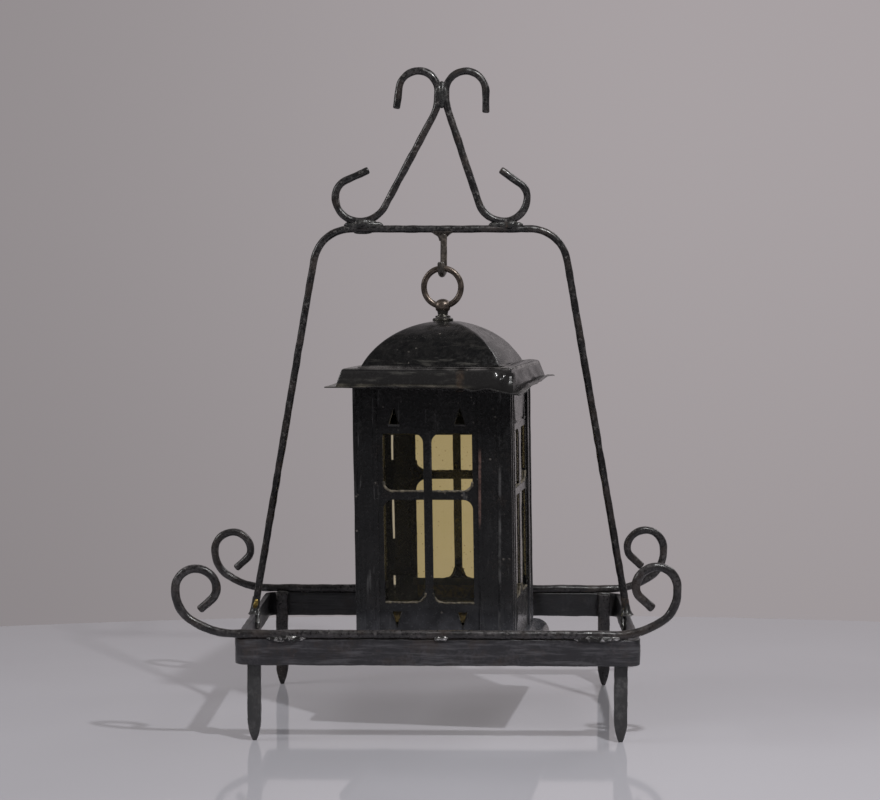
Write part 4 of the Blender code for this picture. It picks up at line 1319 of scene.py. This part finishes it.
def split_rib(bm):
    """Splits along a post's wide flange, where the rib has opened right through the sheet."""
    low, high = (BODY_HALF - SPLIT_FROM_CORNER + side * SPLIT_WIDTH / 2 for side in (-1, 1))
    cuts = [((x, 0, 0), (1, 0, 0)) for x in (low, high)]
    cuts += [((0, 0, z), (0, 0, 1)) for split in SPLITS for z in split]
    for spot, normal in cuts:
        everything = bm.verts[:] + bm.edges[:] + bm.faces[:]
        bmesh.ops.bisect_plane(bm, geom=everything, plane_co=spot, plane_no=normal)
    for bottom, top in SPLITS:
        opened = []
        for face in bm.faces:
            x, _, z = face.calc_center_median()
            if low < x < high and bottom < z < top:
                opened.append(face)
        bmesh.ops.delete(bm, geom=opened, context="FACES")
        bmesh.ops.bridge_loops(bm, edges=[edge for edge in bm.edges if edge.is_boundary])


def ribbed_post(name, turn, seed):
    """Sheet folded round a corner, with a pressed rib and a hem along each flange."""
    inside = BODY_HALF - SHEET
    right = rib_and_hem(RIGHT_BEAD, RIGHT_FLANGE)
    left = rib_and_hem(LEFT_BEAD, LEFT_FLANGE)
    fold = BODY_HALF - FOLD_RADIUS
    outline = [(BODY_HALF - along, -BODY_HALF - up) for along, up in reversed(right)]
    outline += arc((fold, -fold), FOLD_RADIUS, -90, 0, 15)
    outline += [(BODY_HALF + up, -BODY_HALF + along) for along, up in left]
    outline += [(inside, -BODY_HALF + LEFT_FLANGE), (inside, -inside), (BODY_HALF - RIGHT_FLANGE, -inside)]
    bm = bmesh.new()
    path = stations(((0, 0, BODY_BOTTOM), (0, 0, BODY_TOP)), 0.006)
    sweep(bm, outline, path, (0, 1, 0))
    if name == "post_rear_left":
        split_rib(bm)
    buckle(bm, 0.00025, 55, seed)
    turn_about_axis(bm, turn)
    material = POST_WEAR_AND_HIGHLIGHT if name == "post_front_right" else SHEET_PAINT
    return new_piece("ribbed_" + name, bm, material, "lantern", (name,), sharp=35)


def light(left, bottom, right, top, hand, fillet):
    """One light of a panel, rounded at the two corners where muntins meet the panel's edge."""
    square = {1: ((left, bottom), (right, top)), -1: ((right, bottom), (left, top))}[hand]
    corners = [(left, bottom), (right, bottom), (right, top), (left, top)]
    outline = []
    for i, corner in enumerate(corners):
        if corner in square:
            outline.append(corner)
        else:
            outline += filleted_corner(corners[i - 1], corner, corners[(i + 1) % 4], fillet)
    return outline


def panel_lights(face):
    """Two tall lights under two short ones, parted by a cross of muntins."""
    half = MUNTIN / 2
    shift = LIGHTS_SHIFT[face]
    muntin = MUNTIN_BOTTOM + MUNTIN_LIFT[face]
    lower = (LIGHTS_BOTTOM, muntin)
    upper = (muntin + MUNTIN, LIGHTS_TOP)
    left = (LIGHTS_LEFT + shift, LIGHTS_MIDDLE + shift - half)
    right = (LIGHTS_MIDDLE + shift + half, LIGHTS_RIGHT + shift)
    lights = []
    for across, hand in ((left, 1), (right, -1)):
        for level, way in ((lower, hand), (upper, -hand)):
            lights.append(light(across[0], level[0], across[1], level[1], way, LIGHT_FILLET[face]))
    return lights


def vent_places(face):
    """The middle of each vent's base and the way that it points."""
    places = []
    for side in (-1, 1):
        x = LIGHTS_MIDDLE + LIGHTS_SHIFT[face] + side * VENT_SPREAD
        places += [(x, LIGHTS_TOP + VENT_TO_LIGHT, 1), (x, LIGHTS_BOTTOM - VENT_TO_LIGHT, -1)]
    return places


def panel_vents(face):
    half = VENT_WIDTH / 2
    return [[(x - half, z), (x + half, z), (x, z + up * VENT_HEIGHT)] for x, z, up in vent_places(face)]


def face_matrix(distance, turn):
    """Stands a flat piece drawn in XY up in the face that is turned this far from the front."""
    swing = Matrix.Rotation(math.radians(turn), 4, "Z")
    return swing @ Matrix.Translation((0, -distance, 0)) @ Matrix.Rotation(math.radians(90), 4, "X")


def cut_sheet(name, loops, thickness):
    """A flat sheet with holes, as a bmesh in its own XY plane."""
    curve = bpy.data.curves.new(name, "CURVE")
    curve.dimensions = "2D"
    curve.fill_mode = "BOTH"
    curve.extrude = thickness / 2
    for loop in loops:
        spline = curve.splines.new("POLY")
        spline.points.add(len(loop) - 1)
        for point, (x, y) in zip(spline.points, loop):
            point.co = (x, y, 0, 1)
        spline.use_cyclic_u = True
    holder = bpy.data.objects.new(name, curve)
    bpy.context.scene.collection.objects.link(holder)
    bpy.context.view_layer.update()
    mesh = bpy.data.meshes.new_from_object(holder.evaluated_get(bpy.context.evaluated_depsgraph_get()))
    bm = bmesh.new()
    bm.from_mesh(mesh)
    bpy.data.objects.remove(holder, do_unlink=True)
    bpy.data.curves.remove(curve)
    bpy.data.meshes.remove(mesh)
    bmesh.ops.remove_doubles(bm, verts=bm.verts, dist=1e-6)
    bmesh.ops.recalc_face_normals(bm, faces=bm.faces)
    return bm


def cut_panel(face, turn):
    """The cut sheet between two posts."""
    left = -BODY_HALF + LEFT_FLANGE - PANEL_LAP
    right = BODY_HALF - RIGHT_FLANGE + PANEL_LAP
    outline = [(left, BODY_BOTTOM), (right, BODY_BOTTOM), (right, BODY_TOP), (left, BODY_TOP)]
    bm = cut_sheet("panel", [outline] + panel_lights(face) + panel_vents(face), SHEET)
    bmesh.ops.transform(bm, matrix=face_matrix(PANEL_OUTSIDE - SHEET / 2, turn), verts=bm.verts)
    name = f"panel_{face}"
    return new_piece("cut_" + name, bm, PANEL_PAINT, "lantern", (name,), sharp=35)


def vent_lips(face, turn):
    """The lips that the punch raised: a heavy one under an upright vent, thin ones beside the others."""
    bm = bmesh.new()
    half = VENT_WIDTH / 2
    for x, z, up in vent_places(face):
        tip = (x, z + up * VENT_HEIGHT, 0)
        runs = [((x - half, z, 0), tip, 0.00035), ((x + half, z, 0), tip, 0.00035)]
        if up > 0:
            sill = half + 0.0006
            runs = [((x - sill, z - 0.0006, 0.0003), (x + sill, z - 0.0006, 0.0003), 0.0009)]
        for first, last, radius in runs:
            path = stations((first, last), 0.0008)
            sweep(bm, round_section(radius, 10), path, (0, 0, 1), rounding=radius * 0.4)
    hammer(bm, 0.0003, 700, turn)
    bmesh.ops.transform(bm, matrix=face_matrix(PANEL_OUTSIDE, turn), verts=bm.verts)
    return new_piece(f"vent_lips_{face}", bm, WELD, "lantern", sharp=60)


def sill_putty(face, turn):
    """Old putty and dirt along the foot of each light, up into its rounded corner."""
    bm = bmesh.new()
    for outline in panel_lights(face):
        bottom = min(z for _, z in outline)
        foot = [(x, z, 0) for x, z in outline if z < bottom + LIGHT_FILLET[face] + 1e-6]
        sweep(bm, round_section(PUTTY, 10), stations(foot, 0.0015), (0, 0, 1), rounding=PUTTY * 0.4)
    hammer(bm, 0.0006, 420, turn + 2)
    bmesh.ops.transform(bm, matrix=face_matrix(PANEL_OUTSIDE - SHEET * 0.6, turn), verts=bm.verts)
    return new_piece(f"sill_putty_{face}", bm, PUTTY_DIRT, "lantern", sharp=60)


def warm_light_strip(face, turn):
    """A tawny strip inside a panel below its pane: painted warm light, for the light that reaches the
    lantern's inside through the amber panes.
    """
    bm = bmesh.new()
    shift = LIGHTS_SHIFT[face]
    z = LIGHTS_BOTTOM - 0.0085
    path = stations(((LIGHTS_LEFT + shift, z, 0), (LIGHTS_RIGHT + shift, z, 0)), 0.002)
    sweep(bm, flat_section(0.014, 0.0005, 0.0002, 6), path, (0, 0, 1))
    hammer(bm, 0.0003, 260, turn + 4)
    bmesh.ops.transform(bm, matrix=face_matrix(PANEL_OUTSIDE - SHEET - 0.0007, turn), verts=bm.verts)
    return new_piece(f"warm_light_strip_{face}", bm, WARM_LIGHT_PAINT, "lantern", sharp=60)


def spread_base():
    """The floor and the round-shouldered skirt that spreads below it."""
    middle = SHEET / 2
    floor = FLOOR_TOP - middle
    profile = [(FLOOR_START, floor), (FLOOR_MIDDLE, floor)]
    for x, y in arc((0, 0), 1, 90, 0):
        profile.append((BASE_SHOULDER + BASE_REACH * x, floor - BASE_DROP * (1 - y)))
    bm = folded_square(profile, 0.0015, 24)
    rims = [edge for edge in bm.edges if edge.is_boundary]
    close_end(bm, [edge for edge in rims if half_width(edge.verts[0].co) < FLOOR_MIDDLE])
    buckle(bm, 0.0003, 50, 12)
    bmesh.ops.recalc_face_normals(bm, faces=bm.faces)
    return sheet_piece("spread_base", bm, SHEET_PAINT, "base", ("base_tray",))


def rolled_cup():
    """The tin candle cup with a rolled rim."""
    bm = bmesh.new()
    bottom = FLOOR_TOP + 0.0003
    top = bottom + CUP_HEIGHT
    inside = CUP_RADIUS - SHEET
    floor = bottom + SHEET
    foot = CUP_RADIUS - CUP_CORNER
    rim = (CUP_RADIUS + 0.0002, top - CUP_BEAD)
    profile = [(CUP_BORE, bottom)]
    profile += arc((foot, bottom + CUP_CORNER), CUP_CORNER, -90, 0, 15)
    profile += arc(rim, CUP_BEAD, -70, 180, 20)
    profile += [(inside, floor + 0.0009), (inside - 0.0008, floor), (CUP_BORE, floor)]
    spun(bm, profile)
    return new_piece("rolled_cup", bm, TIN, "base", ("candle_cup",))


def dress_lantern():
    turned_eye()
    waisted_neck()
    domed_washer()
    gored_dome()
    dented_brim()
    for i, (corner, turn) in enumerate(CORNERS):
        ribbed_post(f"post_{corner}", turn, 60 + i)
    for face, turn in FACES:
        cut_panel(face, turn)
        vent_lips(face, turn)
        sill_putty(face, turn)
        warm_light_strip(face, turn)
    spread_base()
    rolled_cup()


def finish_cad_pieces():
    """The panes and hidden fittings keep their CAD shape and get their finish here."""
    finishes = {"eye_nut": DARK_BRONZE, "base_collar": STAIN_AND_SHADE, "cup_rivet": TIN}
    for face, _ in FACES:
        finishes[f"pane_{face}"] = GLASS
        # The pane sills and caps take the dark finish as painted shade behind the vents.
        finishes[f"pane_sill_{face}"] = STAIN_AND_SHADE
        finishes[f"pane_cap_{face}"] = STAIN_AND_SHADE
    for name, material in finishes.items():
        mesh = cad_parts[name].data
        mesh.materials.clear()
        mesh.materials.append(material)


# Studio

TABLE_RADIUS = 2.0
TABLE_THICKNESS = 0.02
TABLE_MIDDLE = (0.10, -1.555)
BACKDROP_Y = 2.4
CAMERA_DISTANCE = 1.534
CAMERA_HEIGHT = 0.3485
CAMERA_TURN = 1.26
CAMERA_PITCH = 3.59
CAMERA_SIDESTEP = -0.0001
FOCAL_PIXELS = 1917
PICTURE_WIDTH = 880
SENSOR_WIDTH = 36
WORLD_STRENGTH = 0.70
WORLD_SHEEN = 0.12


def stage_piece(name, bm, material):
    """Makes a bmesh a piece of the studio."""
    mesh = bpy.data.meshes.new(name)
    bm.to_mesh(mesh)
    bm.free()
    mesh.materials.append(material)
    piece = bpy.data.objects.new(name, mesh)
    bpy.context.scene.collection.objects.link(piece)


def table_lacquer():
    """Pale grey lacquer with painted light: a little lighter towards the camera, and a faint glow of its
    own that lifts its shadows.
    """
    made, tree, shader, where = new_material("table_lacquer")
    # Painted light: lighter towards the camera.
    painted_light_near_camera = ramp(tree, axes(tree, where)["Y"], 0.45, -0.35)
    cloud = maths(tree, "ADD", painted_light_near_camera, noise_value(tree, where, 3, detail=3))
    colour = blend_colour(tree, ramp(tree, cloud, 0.3, 1.7), (0.365, 0.356, 0.386), (0.450, 0.443, 0.480))
    tree.links.new(colour, shader.inputs["Base Color"])
    shader.inputs["Roughness"].default_value = 0.05
    # Painted light: a faint glow of the table's own lifts the shadows on it.
    shader.inputs["Emission Color"].default_value = (0.98, 0.96, 1.0, 1)
    shader.inputs["Emission Strength"].default_value = 0.06
    return made


def table_top():
    bm = bmesh.new()
    middle = Matrix.Translation((*TABLE_MIDDLE, -TABLE_THICKNESS / 2))
    size = {"radius1": TABLE_RADIUS, "radius2": TABLE_RADIUS, "depth": TABLE_THICKNESS}
    bmesh.ops.create_cone(bm, cap_ends=True, segments=256, matrix=middle, **size)
    stage_piece("table_top", bm, table_lacquer())


def backdrop_grey():
    """A grey that camera, glossy and transmitted rays see at its own colour."""
    made, tree, shader, where = new_material("backdrop_grey")
    shader.inputs["Base Color"].default_value = (0.35, 0.33, 0.34, 1)
    shader.inputs["Roughness"].default_value = 0.9
    place = axes(tree, where)
    # Painted light: the grey darkens towards the left and towards the floor, as the studio light falls off.
    across = ramp(tree, place["X"], -1.3, 0.55)
    grey = blend_colour(tree, across, (0.284, 0.261, 0.268), (0.392, 0.358, 0.368))
    lower = ramp(tree, place["Z"], 0.75, -0.55, 0.0, 0.20)
    grey = blend_colour(tree, lower, grey, (0.130, 0.120, 0.124))
    glow = add_node(tree, "ShaderNodeEmission", {"Color": grey, "Strength": 1.0})
    rays = add_node(tree, "ShaderNodeLightPath").outputs
    seen = maths(tree, "MAXIMUM", rays["Is Camera Ray"], rays["Is Glossy Ray"])
    seen = maths(tree, "MAXIMUM", seen, rays["Is Transmission Ray"])
    mix = add_node(tree, "ShaderNodeMixShader", {0: seen, 1: shader.outputs[0], 2: glow.outputs[0]})
    tree.links.new(mix.outputs[0], tree.nodes["Material Output"].inputs["Surface"])
    return made


def backdrop():
    bm = bmesh.new()
    stand_up = Matrix.Translation((0, BACKDROP_Y, 1.0)) @ Matrix.Rotation(math.radians(90), 4, "X")
    bmesh.ops.create_grid(bm, x_segments=1, y_segments=1, size=4, matrix=stand_up)
    stage_piece("backdrop", bm, backdrop_grey())


def soft_light(name, place, target, size, power):
    """A square light that looks from its place at a target."""
    lamp = bpy.data.lights.new(name, "AREA")
    lamp.shape = "SQUARE"
    lamp.size = size
    lamp.energy = power
    holder = bpy.data.objects.new(name, lamp)
    holder.location = place
    holder.rotation_euler = (Vector(target) - Vector(place)).to_track_quat("-Z", "Y").to_euler()
    bpy.context.scene.collection.objects.link(holder)


def studio_lights():
    soft_light("key_right", (0.39, -0.56, 1.07), (0, 0, 0.10), size=0.05, power=7.5)
    soft_light("left", (-1.7, -0.35, 1.15), (0, 0, 0.1), size=0.6, power=9)
    soft_light("rear_right", (1.3, 1.3, 1.6), (0, 0, 0.2), size=0.8, power=8)


def studio_world():
    """Even light from all round, dimmer where a surface mirrors it or lets it through."""
    world = bpy.data.worlds.new("studio")
    world.use_nodes = True
    tree = world.node_tree
    shade = tree.nodes["Background"]
    shade.inputs["Color"].default_value = (0.36, 0.345, 0.35, 1)
    rays = add_node(tree, "ShaderNodeLightPath").outputs
    shining = maths(tree, "MAXIMUM", rays["Is Glossy Ray"], rays["Is Transmission Ray"])
    tree.links.new(ramp(tree, shining, 0, 1, WORLD_STRENGTH, WORLD_SHEEN), shade.inputs["Strength"])
    bpy.context.scene.world = world


def camera():
    lens = bpy.data.cameras.new("camera")
    lens.sensor_fit = "HORIZONTAL"
    lens.sensor_width = SENSOR_WIDTH
    lens.lens = SENSOR_WIDTH * FOCAL_PIXELS / PICTURE_WIDTH
    eye = bpy.data.objects.new("camera", lens)
    turn = Matrix.Rotation(math.radians(CAMERA_TURN), 3, "Z")
    eye.location = turn @ Vector((CAMERA_SIDESTEP, -CAMERA_DISTANCE, CAMERA_HEIGHT))
    eye.location.x += STAND_X
    eye.rotation_euler = (math.radians(90 - CAMERA_PITCH), 0, math.radians(CAMERA_TURN))
    bpy.context.scene.collection.objects.link(eye)
    bpy.context.scene.camera = eye


def build():
    noise.seed_set(BUCKLE_SEED)
    dress_stand()
    worn_ring()
    dress_lantern()
    finish_cad_pieces()
    table_top()
    backdrop()
    studio_lights()
    studio_world()
    camera()
    bpy.context.scene.view_settings.view_transform = "Standard"


build()
